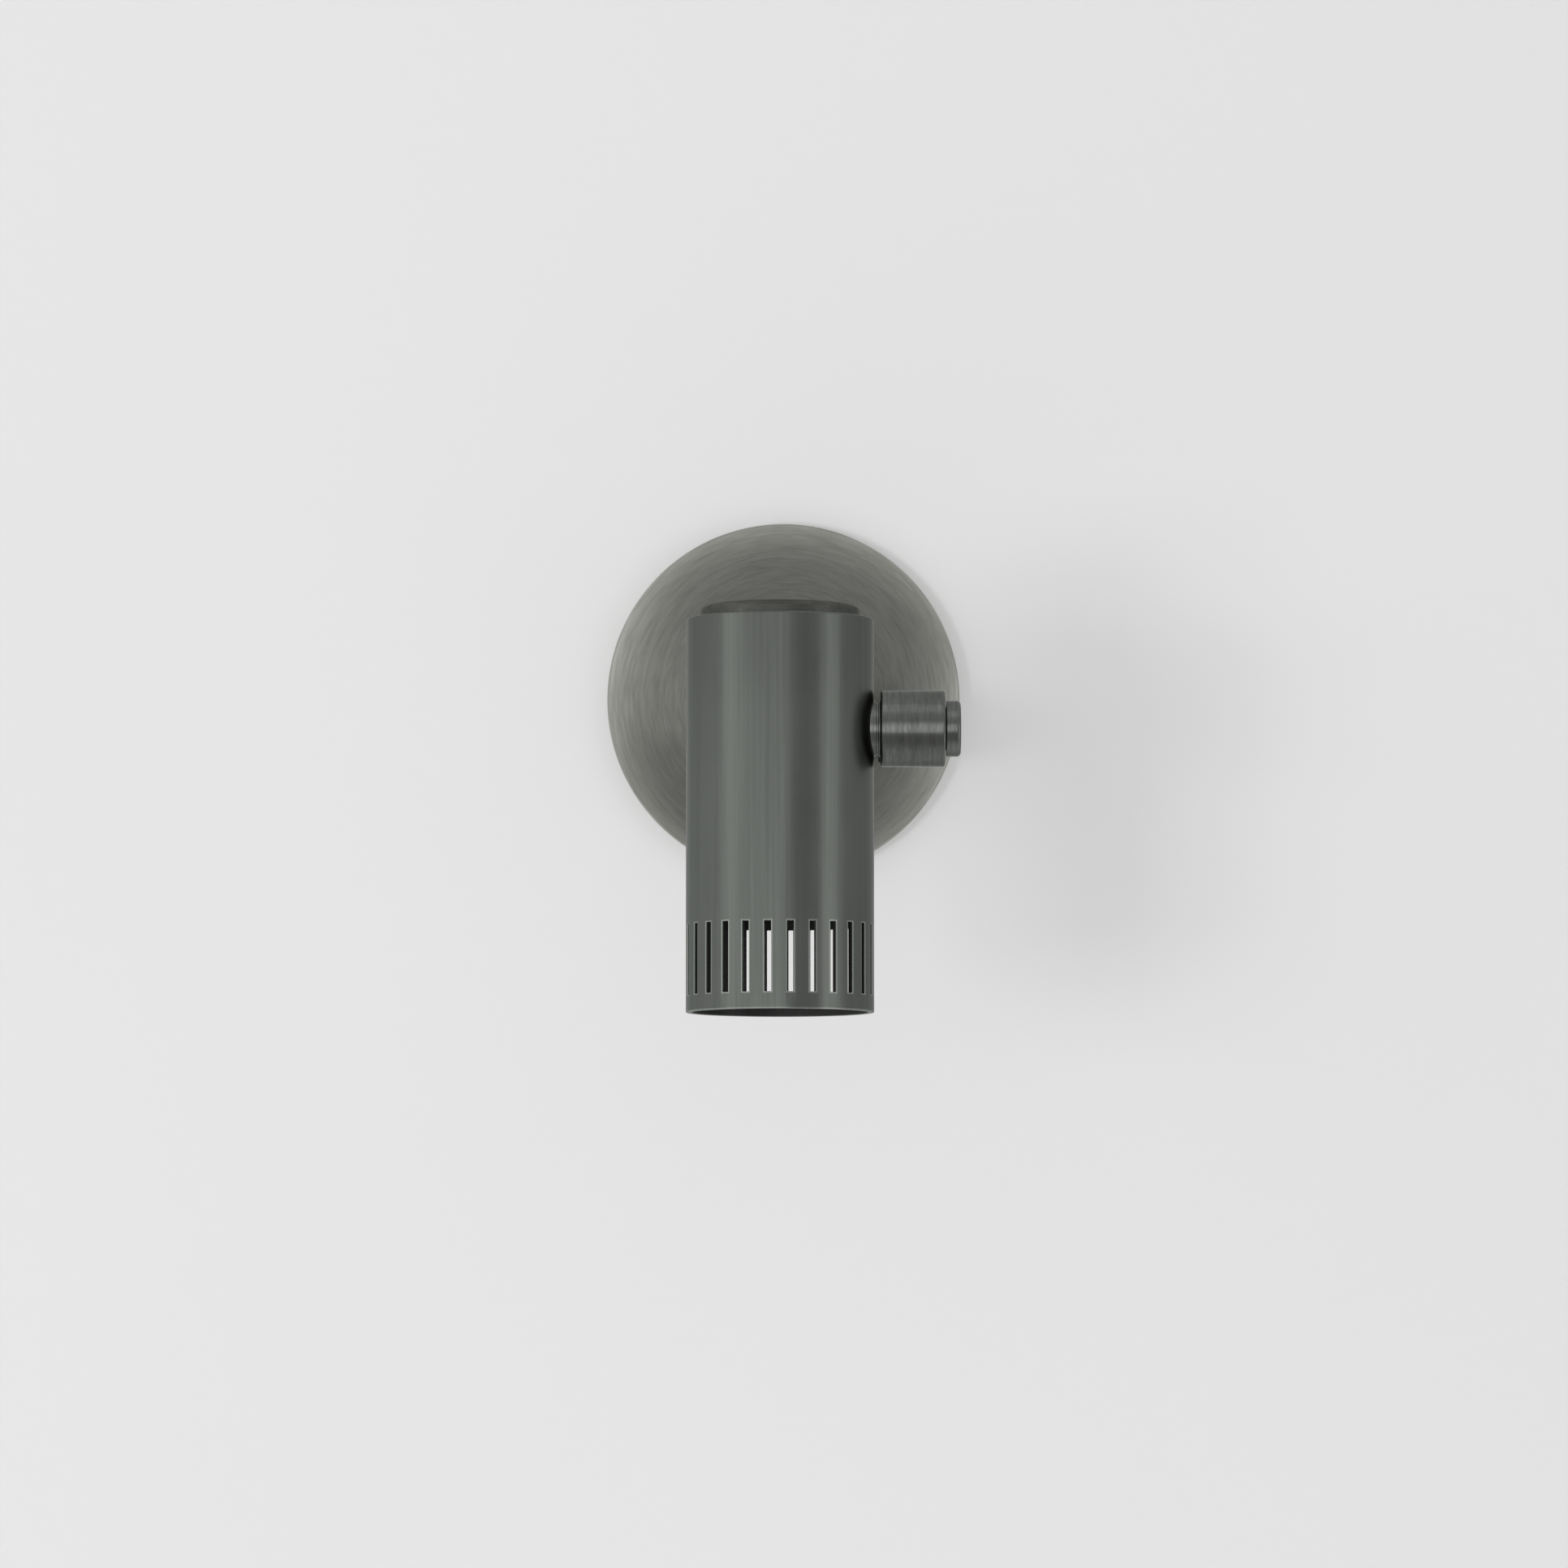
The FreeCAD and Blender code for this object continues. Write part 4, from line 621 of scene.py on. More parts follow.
def turned(name, corners, ends=(True, True), sides=TURNED_SIDES):
    """A ring of edges pulled along an outline of (radius, height), about the Z axis."""
    outline = rounded(corners)
    reach, level = outline[0]
    bpy.ops.object.select_all(action="DESELECT")
    bpy.ops.mesh.primitive_circle_add(vertices=sides, radius=reach, location=(0, 0, level))
    piece = bpy.context.object
    piece.name = name
    bpy.ops.object.mode_set(mode="EDIT")
    bpy.ops.mesh.select_mode(type="EDGE")
    bpy.ops.mesh.select_all(action="SELECT")
    for before, point in zip(outline, outline[1:]):
        share = point[0] / before[0]
        pull = (0, 0, point[1] - before[1])
        bpy.ops.mesh.extrude_edges_move(TRANSFORM_OT_translate={"value": pull})
        bpy.ops.transform.resize(value=(share, share, 1), center_override=(0, 0, point[1]))
    if ends[1]:
        bpy.ops.mesh.edge_face_add()
    if ends[0]:
        pick(piece, "EDGE", lambda middle, edge: all(
            abs(corner.co.z) < 2 * SAME_PLACE and abs(corner.co.xy.length - reach) < 2 * SAME_PLACE
            for corner in edge.verts))
        bpy.ops.mesh.edge_face_add()
    bpy.ops.mesh.select_all(action="SELECT")
    bpy.ops.mesh.remove_doubles(threshold=SAME_PLACE)
    bpy.ops.mesh.normals_make_consistent(inside=False)
    bpy.ops.object.mode_set(mode="OBJECT")
    bpy.ops.object.transform_apply(location=True, rotation=True, scale=True)
    return piece


print("sides of a turned piece:", TURNED_SIDES)

# %% Cutting and joining
DRUM_SIDES = 96


def with_modifier(piece, kind, **settings):
    """Add a modifier, set it and apply it."""
    alone(piece)
    modifier = piece.modifiers.new(kind.lower(), kind)
    for name, value in settings.items():
        setattr(modifier, name, value)
    bpy.ops.object.modifier_apply(modifier=modifier.name)


def drum(radius, start, stop, sides=DRUM_SIDES):
    """A plain round bar between two points, to cut or join with."""
    start, stop = Vector(start), Vector(stop)
    bpy.ops.object.select_all(action="DESELECT")
    bpy.ops.mesh.primitive_cylinder_add(vertices=sides, radius=radius, depth=(stop - start).length)
    bar = bpy.context.object
    bar.matrix_world = (Matrix.Translation((start + stop) / 2)
                        @ (stop - start).to_track_quat("Z", "Y").to_matrix().to_4x4())
    return bar


def slab(low, high):
    """A plain block between two corners, to cut or join with."""
    low, high = Vector(low), Vector(high)
    bpy.ops.object.select_all(action="DESELECT")
    bpy.ops.mesh.primitive_cube_add(size=1, location=(low + high) / 2, scale=high - low)
    return bpy.context.object


def worked(piece, operation, bars):
    """Cut the bars out of a piece, or join them to it."""
    for bar in bars:
        with_modifier(piece, "BOOLEAN", object=bar, operation=operation, solver="EXACT")
        bpy.data.objects.remove(bar)


print("sides of a drum:", DRUM_SIDES)

# %% Finishing a piece
SHARP_ANGLE = math.radians(32)
LARGE_FACE_WEIGHT = 80


def finished(piece, body, slot, replaced, place=None):
    """Seat a piece, smooth it, give it its finish and let it ride on its body."""
    alone(piece)
    if place is not None:
        piece.matrix_world = place
    bpy.ops.object.transform_apply(location=True, rotation=True, scale=True)
    bpy.ops.object.shade_smooth_by_angle(angle=SHARP_ANGLE)
    with_modifier(piece, "WEIGHTED_NORMAL", keep_sharp=True, weight=LARGE_FACE_WEIGHT)
    piece.data.materials.clear()
    piece.data.materials.append(bpy.data.materials[slot])
    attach(piece, body)
    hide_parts(replaced)
    low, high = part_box(replaced)
    corners = [corner.co for corner in piece.data.vertices]
    over = max(max(corner[axis] - high[axis], low[axis] - corner[axis])
               for corner in corners for axis in range(3))
    print("%s: %d faces, %.3f mm beyond its node" % (piece.name, len(piece.data.polygons), over / MM))


TO_FRONT = Matrix.Rotation(math.radians(90), 4, "X")
TO_RIGHT = Matrix.Rotation(math.radians(90), 4, "Y")
KNUCKLE_PLACE = Matrix.Translation(tilt_place)
HEAD_PLACE = Matrix.Translation(tilt_place) @ Matrix.Rotation(-REST_LEAN, 4, "X")
print("edges sharper than %.0f degrees stay sharp" % math.degrees(SHARP_ANGLE))

# %% [markdown]
# The wall plate
#
# The plate is a disc of sheet metal pressed over a domed former, with a short straight lip that
# meets the wall. It is one shallow part of a ball, 18 mm high on a 127 mm plate. A flattened
# sphere would have the wrong curve near the rim, so the ring is pulled along the true arc, then
# the sheet gets its thickness with Solidify, and the holes for the arm's stud and for the two
# grub screws are cut last.

# %% Wall plate
PLATE_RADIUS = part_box("canopy_dome")[1].x
PLATE_LIP = 6 * MM
PLATE_RISE = -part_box("canopy_dome")[0].y - PLATE_LIP
PLATE_WALL = 1.5 * MM
PLATE_ROUND = 1.2 * MM
PLATE_RINGS = 30
STUD_HOLE_RADIUS = 5.1 * MM
GRUB_HOLE_RADIUS = 1.6 * MM
dome_radius = (PLATE_RADIUS ** 2 + PLATE_RISE ** 2) / (2 * PLATE_RISE)
rim_angle = math.asin(PLATE_RADIUS / dome_radius)
dome_centre = PLATE_LIP + PLATE_RISE - dome_radius
plate_outline = [(PLATE_RADIUS, 0), (PLATE_RADIUS, PLATE_LIP, PLATE_ROUND)]
for ring in range(1, PLATE_RINGS):
    angle = rim_angle * (1 - ring / PLATE_RINGS)
    plate_outline.append((dome_radius * math.sin(angle), dome_centre + dome_radius * math.cos(angle)))
wall_plate = turned("wall_plate", plate_outline, ends=(False, True), sides=256)
with_modifier(wall_plate, "SOLIDIFY", thickness=PLATE_WALL, offset=-1, use_even_offset=True)
stud_x, stud_y = swing_pin_place.x, swing_pin_place.z
grub_level = PLATE_LIP / 2
past_rim = 1.1 * PLATE_RADIUS
worked(wall_plate, "DIFFERENCE", [
    drum(STUD_HOLE_RADIUS, (stud_x, stud_y, -PLATE_LIP), (stud_x, stud_y, 6 * PLATE_LIP)),
    drum(GRUB_HOLE_RADIUS, (0, -past_rim, grub_level), (0, past_rim, grub_level), DRUM_SIDES // 2)])
finished(wall_plate, "wall_mount", "plate_pewter", "canopy_dome", TO_FRONT)

# %% [markdown]
# The shade
#
# The shade is a drawn tube, 63.5 mm across, closed at the top and slotted near its mouth. The
# slots are evenly spaced, so the tube starts as a cylinder with ten columns of faces for each
# slot. Bisecting it at two heights and deleting three columns out of ten opens every slot at
# once, with edges exactly where they belong, which 26 boolean cuts would not do as cleanly. Two
# more bisections bound the band in which the spindle's hole is drilled.
# The rim of the closed end is bevelled round, and Solidify gives the tube its wall of 2 mm, which
# shows as the dark side of each slot. A narrow bevel on every sharp edge catches the light as a
# broken edge does.

# %% Tube with its columns of faces
SPINDLE_RADIUS = 5 * MM
bpy.ops.object.select_all(action="DESELECT")
bpy.ops.mesh.primitive_cylinder_add(
    vertices=SLOT_COUNT * COLUMNS, radius=SHADE_RADIUS, depth=SHADE_ABOVE + SHADE_BELOW,
    location=(0, 0, (SHADE_ABOVE - SHADE_BELOW) / 2))
shade = bpy.context.object
shade.name = "shade"
column_turn = 2 * math.pi / (SLOT_COUNT * COLUMNS)
shade.rotation_euler.z = SLOT_TURN + column_turn / 2
bpy.ops.object.transform_apply(location=True, rotation=True, scale=True)
edit(shade)
for level in (SLOT_LOW, SLOT_HIGH, -2 * SPINDLE_RADIUS, 2 * SPINDLE_RADIUS):
    bpy.ops.mesh.select_all(action="SELECT")
    bpy.ops.mesh.bisect(plane_co=(0, 0, level), plane_no=(0, 0, 1))
print("faces of the plain tube:", len(bmesh.from_edit_mesh(shade.data).faces))

# %% Slots, mouth and closed end
SHADE_ROUND = 0.6 * MM
EYE_RADIUS = 4.1 * MM


def in_slot(middle, face):
    """Whether a face lies in one of the slots."""
    half = SLOT_PITCH / 2
    around = (math.atan2(middle.x, -middle.y) - SLOT_TURN + half) % SLOT_PITCH - half
    return SLOT_LOW < middle.z < SLOT_HIGH and abs(around) < SLOT_COLUMNS * column_turn / 2


opened = pick(shade, "FACE", in_slot)
bpy.ops.mesh.delete(type="FACE")
pick(shade, "FACE", lambda middle, face: middle.z < -SHADE_BELOW + MM and abs(face.normal.z) > 0.9)
bpy.ops.mesh.delete(type="FACE")
pick(shade, "EDGE", lambda middle, edge: all(
    abs(corner.co.z - SHADE_ABOVE) < 0.01 * MM for corner in edge.verts))
bpy.ops.mesh.bevel(offset=SHADE_ROUND, segments=ARC_STEPS, affect="EDGES")
pick(shade, "FACE", lambda middle, face: face.normal.z > 0.99 and len(face.verts) > COLUMNS)
bpy.ops.mesh.inset(thickness=SHADE_RADIUS - SHADE_ROUND - EYE_RADIUS)
bpy.ops.mesh.delete(type="FACE")
print("faces opened for the slots:", opened)

# %% Sheet thickness, broken edges and the hole for the spindle
SHADE_WALL = 2 * MM
EDGE_BREAK = 0.25 * MM
BROKEN_ANGLE = math.radians(50)


def filed(piece, width):
    """Break the sharp edges of a piece."""
    with_modifier(piece, "BEVEL", width=width, segments=2, limit_method="ANGLE",
                  angle_limit=BROKEN_ANGLE, use_clamp_overlap=True)


with_modifier(shade, "SOLIDIFY", thickness=SHADE_WALL, offset=-1, use_even_offset=True)
filed(shade, EDGE_BREAK)
worked(shade, "DIFFERENCE", [
    drum(SPINDLE_RADIUS, (SHADE_RADIUS / 2, 0, 0), (SHADE_RADIUS * 1.5, 0, 0))])
SHADE_PLACE = HEAD_PLACE @ Matrix.Translation((SHADE_X, 0, 0))
finished(shade, "head", "shade_pewter", "shade_tube", SHADE_PLACE)

# %% [markdown]
# The cap on the shade
#
# A solid disc with a generous round along its upper edge, screwed onto the stud that carries the
# lamp holder. A bevelled cylinder would do for its outside. The blind hole under it is part of
# the same outline, though, so the ring starts inside the hole, runs out under the disc, up its
# side, round the corner and in again.

# %% Cap
CAP_RADIUS = 27.15 * MM
CAP_HEIGHT = 4.4 * MM
CAP_ROUND = 1.8 * MM
CAP_HOLE_RADIUS = 4 * MM
CAP_HOLE_DEPTH = 2.6 * MM
POLE = 0.8 * MM
shade_cap = turned("shade_cap", [
    (POLE, CAP_HOLE_DEPTH), (CAP_HOLE_RADIUS, CAP_HOLE_DEPTH), (CAP_HOLE_RADIUS, 0),
    (CAP_RADIUS, 0), (CAP_RADIUS, CAP_HEIGHT, CAP_ROUND), (POLE, CAP_HEIGHT)])
finished(shade_cap, "head", "cap_pewter", "top_cap",
         SHADE_PLACE @ Matrix.Translation((0, 0, SHADE_ABOVE)))

# %% [markdown]
# The knuckle
#
# The knuckle is a short round bar across the arm's end. The arm's tube fits over a plug at its
# back, the spindle runs through it on two brass bushes, and its end corners are rounded. The
# bar is turned, then the plug is joined to it, and the bores are cut in the order a workshop
# would drill them.

# %% Knuckle
BARREL_RADIUS = 13 * MM
BARREL_ROUND = 0.7 * MM
BARREL_BORE = 6.25 * MM
BUSH_RADIUS = 7.5 * MM
BUSH_LENGTH = 6 * MM
PLUG_RADIUS = 7.95 * MM
PLUG_LENGTH = BARREL_RADIUS + 14 * MM
LEAD_BORE = 3 * MM
GRUB_PLACE = 7 * MM
GRUB_RADIUS = 1.5 * MM
GRUB_SIDES = 48
barrel_grub_y = BARREL_RADIUS + GRUB_PLACE
knuckle = turned("knuckle", [
    (POLE, -BARREL_HALF), (BARREL_RADIUS, -BARREL_HALF, BARREL_ROUND),
    (BARREL_RADIUS, BARREL_HALF, BARREL_ROUND), (POLE, BARREL_HALF)])
knuckle.matrix_world = TO_RIGHT
alone(knuckle)
bpy.ops.object.transform_apply(location=True, rotation=True, scale=True)
worked(knuckle, "UNION", [drum(PLUG_RADIUS, (0, BARREL_RADIUS / 2, 0), (0, PLUG_LENGTH, 0))])
worked(knuckle, "DIFFERENCE", [
    drum(BARREL_BORE, (-2 * BARREL_HALF, 0, 0), (2 * BARREL_HALF, 0, 0)),
    drum(BUSH_RADIUS, (-2 * BARREL_HALF, 0, 0), (-BARREL_HALF + BUSH_LENGTH, 0, 0)),
    drum(BUSH_RADIUS, (BARREL_HALF - BUSH_LENGTH, 0, 0), (2 * BARREL_HALF, 0, 0)),
    drum(LEAD_BORE, (0, 0, 0), (0, 2 * PLUG_LENGTH, 0)),
    drum(GRUB_RADIUS, (0, barrel_grub_y, -2 * PLUG_RADIUS), (0, barrel_grub_y, 0))])
finished(knuckle, "arm", "knuckle_pewter", "tilt_barrel", KNUCKLE_PLACE)

# %% [markdown]
# The end cap and the neck
#
# The end cap is a small round cup that hides the nut on the spindle. The neck is the collar
# between knuckle and shade: a round bar whose one end is cut to the shade's own curve, so that
# it sits on the tube without a gap. Its groove could be cut afterwards, but it is a step of the
# same outline. Only the curved end is cut, with a drum of the shade's size.

# %% End cap
END_CAP_X = BARREL_HALF + 0.5 * MM
END_CAP_RADIUS = 9.5 * MM
END_CAP_LENGTH = 4.8 * MM
END_CAP_ROUND = 1.4 * MM
END_CAP_RECESS_RADIUS = 8.3 * MM
END_CAP_RECESS = 3 * MM
end_cap_piece = turned("knuckle_end_cap", [
    (POLE, END_CAP_RECESS), (END_CAP_RECESS_RADIUS, END_CAP_RECESS), (END_CAP_RECESS_RADIUS, 0),
    (END_CAP_RADIUS, 0, 0.12 * MM), (END_CAP_RADIUS, END_CAP_LENGTH, END_CAP_ROUND),
    (POLE, END_CAP_LENGTH)])
finished(end_cap_piece, "head", "knuckle_pewter", "end_cap",
         HEAD_PLACE @ Matrix.Translation((END_CAP_X, 0, 0)) @ TO_RIGHT)

# %% Neck
NECK_RADIUS = 9.5 * MM
NECK_ROUND = 0.2 * MM
NECK_LAND = 0.6 * MM
GROOVE_FLANK = 0.2 * MM
GROOVE_FLOOR = 0.5 * MM
GROOVE_RADIUS = NECK_RADIUS - 0.5 * MM
neck_left = SHADE_X + SHADE_RADIUS / 2
neck_right = -BARREL_HALF - 0.05 * MM
groove_right = neck_right - NECK_LAND
floor_right = groove_right - GROOVE_FLANK
floor_left = floor_right - GROOVE_FLOOR
groove_left = floor_left - GROOVE_FLANK
neck = turned("shade_neck", [
    (POLE, neck_left), (NECK_RADIUS, neck_left), (NECK_RADIUS, groove_left),
    (GROOVE_RADIUS, floor_left), (GROOVE_RADIUS, floor_right), (NECK_RADIUS, groove_right),
    (NECK_RADIUS, neck_right, NECK_ROUND), (POLE, neck_right)])
neck.matrix_world = TO_RIGHT
alone(neck)
bpy.ops.object.transform_apply(location=True, rotation=True, scale=True)
shade_sides = SLOT_COUNT * COLUMNS
worked(neck, "DIFFERENCE", [
    drum(SHADE_RADIUS, (SHADE_X, 0, -SHADE_RADIUS), (SHADE_X, 0, SHADE_RADIUS), shade_sides),
    drum(SPINDLE_RADIUS, (2 * SHADE_X, 0, 0), (-SHADE_X, 0, 0))])
finished(neck, "head", "knuckle_pewter", "neck_collar", HEAD_PLACE)

# %% [markdown]
# The fork on the plate
#
# The arm swings between two round ears. The fork is milled from one round bar: ears and shank are
# joined first, then the gap is cut and the shank's foot is hollowed to the plate's own curve. A
# workshop breaks the edges with a file, as a sharp edge would catch no light and look like paper.
# Moving each edge by hand would do, but the Bevel modifier finds them all by their angle. The
# stud is joined and the bores are drilled last, so their own edges stay sharp.

# %% Fork sizes
FORK_RADIUS = 9.75 * MM
FORK_GAP = 11.8 * MM
EAR = 5 * MM
WEB_GAP = 1.2 * MM
FORK_SIDES = 128
BORE_SIDES = 64
FILED_EDGE = 0.3 * MM
STUD_RADIUS = 5 * MM
STUD_BACK = 4.2 * MM
PIN_RADIUS = 2.5 * MM
PIN_PLAY = 0.05 * MM
PIN_HEAD_RADIUS = 4.5 * MM
PIN_HEAD = 2.2 * MM
pin_x, pin_y, pin_z = swing_pin_place
fork_half = FORK_GAP / 2 + EAR
fork_top = pin_z + fork_half
fork_foot = pin_z - fork_half
above_fork = pin_z + 2 * fork_half
pin_bottom = fork_foot + EAR / 5
shank_front = pin_y + FORK_RADIUS + WEB_GAP
print("the fork is %.1f mm high" % (2 * fork_half / MM))

# %% Fork
fork = drum(FORK_RADIUS, (pin_x, pin_y, fork_foot), (pin_x, pin_y, fork_top), FORK_SIDES)
fork.name = "fork"
worked(fork, "UNION", [
    slab((pin_x - FORK_RADIUS, pin_y, fork_foot), (pin_x + FORK_RADIUS, shank_front, fork_top)),
    drum(FORK_RADIUS, (pin_x, shank_front - EAR / 2, pin_z), (pin_x, 0, pin_z), FORK_SIDES)])
bpy.ops.object.select_all(action="DESELECT")
bpy.ops.mesh.primitive_uv_sphere_add(segments=192, ring_count=96, radius=dome_radius,
                                     location=(0, -dome_centre, 0))
dome_ball = bpy.context.object
worked(fork, "DIFFERENCE", [
    slab((pin_x - 2 * FORK_RADIUS, pin_y - 2 * FORK_RADIUS, pin_z - FORK_GAP / 2),
         (pin_x + 2 * FORK_RADIUS, pin_y + FORK_RADIUS + WEB_GAP / 2, pin_z + FORK_GAP / 2)),
    dome_ball])
filed(fork, FILED_EDGE)
worked(fork, "UNION", [
    drum(STUD_RADIUS, (pin_x, shank_front, pin_z), (pin_x, -STUD_BACK, pin_z), BORE_SIDES)])
worked(fork, "DIFFERENCE", [
    drum(LEAD_BORE, (pin_x, 2 * pin_y, pin_z), (pin_x, 0, pin_z), BORE_SIDES),
    drum(PIN_RADIUS + PIN_PLAY, (pin_x, pin_y, pin_z), (pin_x, pin_y, above_fork), BORE_SIDES),
    drum(PIN_RADIUS, (pin_x, pin_y, pin_bottom), (pin_x, pin_y, pin_z), BORE_SIDES),
    drum(PIN_HEAD_RADIUS + 2 * PIN_PLAY, (pin_x, pin_y, fork_top - PIN_HEAD),
         (pin_x, pin_y, above_fork), BORE_SIDES)])
finished(fork, "wall_mount", "knuckle_pewter", "swing_foot")

# %% [markdown]
# The pin and the tongue
#
# The pin is a screw with a flat head and a hexagon socket, sunk flush into the upper ear. Its
# head has a small chamfer, which draws a fine ring round it. The tongue is the arm's own end: a
# hollow drum between the ears, a stem, a collar as wide as the arm, and a plug inside the tube.
# The pin is round all over, so it is turned. The tongue isn't, so it is joined from bars, filed,
# and then bored.

# %% Pin
SOCKET_RADIUS = 3 * MM / math.sqrt(3)
SOCKET_DEPTH = 1.4 * MM
PIN_CHAMFER = 0.35 * MM
swing_screw = turned("swing_screw", [
    (POLE, pin_bottom), (PIN_RADIUS, pin_bottom), (PIN_RADIUS, fork_top - PIN_HEAD),
    (PIN_HEAD_RADIUS, fork_top - PIN_HEAD), (PIN_HEAD_RADIUS, fork_top - PIN_CHAMFER),
    (PIN_HEAD_RADIUS - PIN_CHAMFER, fork_top), (POLE, fork_top)], sides=BORE_SIDES)
worked(swing_screw, "DIFFERENCE", [
    drum(SOCKET_RADIUS, (0, 0, fork_top - SOCKET_DEPTH), (0, 0, fork_top + SOCKET_DEPTH), 6)])
finished(swing_screw, "wall_mount", "black_steel", "swing_pin",
         Matrix.Translation((pin_x, pin_y, 0)))

# %% Tongue sizes
TONGUE_HEIGHT = 10 * MM
TONGUE_BORE = 7 * MM
TONGUE_WINDOW = 5 * MM
STEM_RADIUS = 5.25 * MM
KNUCKLE_CLEARANCE = 0.75 * MM
ARM_RADIUS = 9.5 * MM
COLLAR = 3 * MM
SPIGOT = 14 * MM
tongue_half = TONGUE_HEIGHT / 2
window_half = TONGUE_WINDOW / 2
collar_back = pin_y - FORK_RADIUS - KNUCKLE_CLEARANCE
collar_front = collar_back - COLLAR
spigot_front = collar_front - SPIGOT
grub_y = collar_front - GRUB_PLACE
print("the arm's tube starts %.1f mm in front of the pin" % ((pin_y - collar_front) / MM))

# %% Tongue
tongue = drum(FORK_RADIUS, (pin_x, pin_y, pin_z - tongue_half), (pin_x, pin_y, pin_z + tongue_half),
              FORK_SIDES)
tongue.name = "tongue"
stem = drum(STEM_RADIUS, (pin_x, pin_y, pin_z), (pin_x, collar_front, pin_z))
worked(stem, "INTERSECT", [
    slab((pin_x - STEM_RADIUS, collar_front, pin_z - tongue_half),
         (pin_x + STEM_RADIUS, pin_y, pin_z + tongue_half))])
worked(tongue, "UNION", [
    stem,
    drum(ARM_RADIUS, (pin_x, collar_back, pin_z), (pin_x, collar_front, pin_z), FORK_SIDES)])
filed(tongue, FILED_EDGE / 2)
worked(tongue, "UNION", [
    drum(PLUG_RADIUS, (pin_x, collar_back - COLLAR / 2, pin_z), (pin_x, spigot_front, pin_z))])
worked(tongue, "DIFFERENCE", [
    drum(TONGUE_BORE, (pin_x, pin_y, pin_z - TONGUE_HEIGHT), (pin_x, pin_y, pin_z + TONGUE_HEIGHT)),
    drum(window_half, (pin_x, pin_y, pin_z), (pin_x, spigot_front - SPIGOT, pin_z), BORE_SIDES),
    slab((pin_x - 2 * FORK_RADIUS, pin_y, pin_z - window_half),
         (pin_x + 2 * FORK_RADIUS, pin_y + 2 * FORK_RADIUS, pin_z + window_half)),
    drum(GRUB_RADIUS, (pin_x, grub_y, pin_z - 2 * PLUG_RADIUS),
         (pin_x, grub_y, pin_z + 2 * PLUG_RADIUS), GRUB_SIDES)])
finished(tongue, "arm", "knuckle_pewter", "arm_root")

# %% [markdown]
# The arm
#
# A straight tube. One end butts against the collar of the tongue, the other is coped: cut to the
# round of the knuckle, so that it closes against the bar all round. A cylinder with Solidify
# would be a tube too, but the outline also gives it the small round at its end. The cope is cut
# with a drum of the knuckle's size, and three small holes take the grub screws.

# %% Arm
ARM_WALL = 1.5 * MM
ARM_ROUND = 0.2 * MM
ARM_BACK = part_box("arm_tube")[1].y
COPE_SIDES = 256
arm_length = ARM_BACK - tilt_place.y
inside_radius = ARM_RADIUS - ARM_WALL
arm = turned("arm", [
    (inside_radius, 0), (ARM_RADIUS, 0, ARM_ROUND), (ARM_RADIUS, arm_length),
    (inside_radius, arm_length), (inside_radius, 0)], ends=(False, False))
barrel_grub = arm_length - BARREL_RADIUS - GRUB_PLACE
worked(arm, "DIFFERENCE", [
    drum(BARREL_RADIUS, (-2 * ARM_RADIUS, 0, arm_length), (2 * ARM_RADIUS, 0, arm_length), COPE_SIDES)])
for side, level in ((1, GRUB_PLACE), (-1, GRUB_PLACE), (-1, barrel_grub)):
    hole = drum(GRUB_RADIUS, (0, 0, level), (0, side * 2 * ARM_RADIUS, level), GRUB_SIDES)
    worked(arm, "DIFFERENCE", [hole])
finished(arm, "arm", "arm_pewter", "arm_tube",
         Matrix.Translation((tilt_place.x, ARM_BACK, tilt_place.z)) @ TO_FRONT)

# %% [markdown]
# The lens of the lamp
#
# Seen into the mouth of the shade, the lens is the brightest piece. The front of such a lamp is
# moulded in rings that spread the light, so the lens is turned too, with a shallow groove between
# every two rings. Its place along the shade is measured on the engineering model's own lens.

# %% Where the engineering model has its lens
plain_lens = bpy.data.objects["lamp_lens"]
into_shade = SHADE_PLACE.inverted() @ plain_lens.matrix_world
lens_corners = [into_shade @ corner.co for corner in plain_lens.data.vertices]
lens_low = min(corner.z for corner in lens_corners)
lens_high = max(corner.z for corner in lens_corners)
lens_radius = max(corner.xy.length for corner in lens_corners)
print("the lens is %.1f mm across" % (2 * lens_radius / MM))

# %% Lens with its rings
LENS_RINGS = 9
LENS_GROOVE = 0.45 * MM
RING_STEPS = 4
RING_STEEPNESS = 3
LENS_SIDES = 128
ring_width = lens_radius / (LENS_RINGS + 0.5)
lens_outline = [(POLE, lens_high), (lens_radius, lens_high), (lens_radius, lens_low)]
for ring in range(LENS_RINGS):
    for step in range(1, RING_STEPS):
        share = step / RING_STEPS
        depth = LENS_GROOVE * math.sin(math.pi * share / 2) ** RING_STEEPNESS
        lens_outline.append((lens_radius - ring_width * (ring + share), lens_low + depth))
    lens_outline.append((lens_radius - ring_width * (ring + 1), lens_low))
lens_outline.append((POLE, lens_low))
lamp_front = turned("lamp_front", lens_outline, sides=LENS_SIDES)
finished(lamp_front, "head", "lens_glass", "lamp_lens", SHADE_PLACE)

# %% [markdown]
# Small parts
#
# The hidden parts keep their engineering meshes, which are exact, and get finishes of their own.
# Zinc plating has a faint crystal pattern and fine rolling marks. Blackened steel is almost
# matt. Brass is warm and a little tarnished. The ground screw is green, so that it is found at
# once. All four differ only in tone, gloss and grain, so one function makes them.

# %% Zinc, black steel, brass and green screw
CRYSTAL_SHARE, MARKS_SHARE, CLOUD_SHARE = 0.35, 0.35, 0.30
MARKS_RUN = (1800, 160, 160)
CLOUD_SCALE = 90.0
METAL_SPAN = (0.3, 0.7)
GRAIN_GLOSS = 0.12


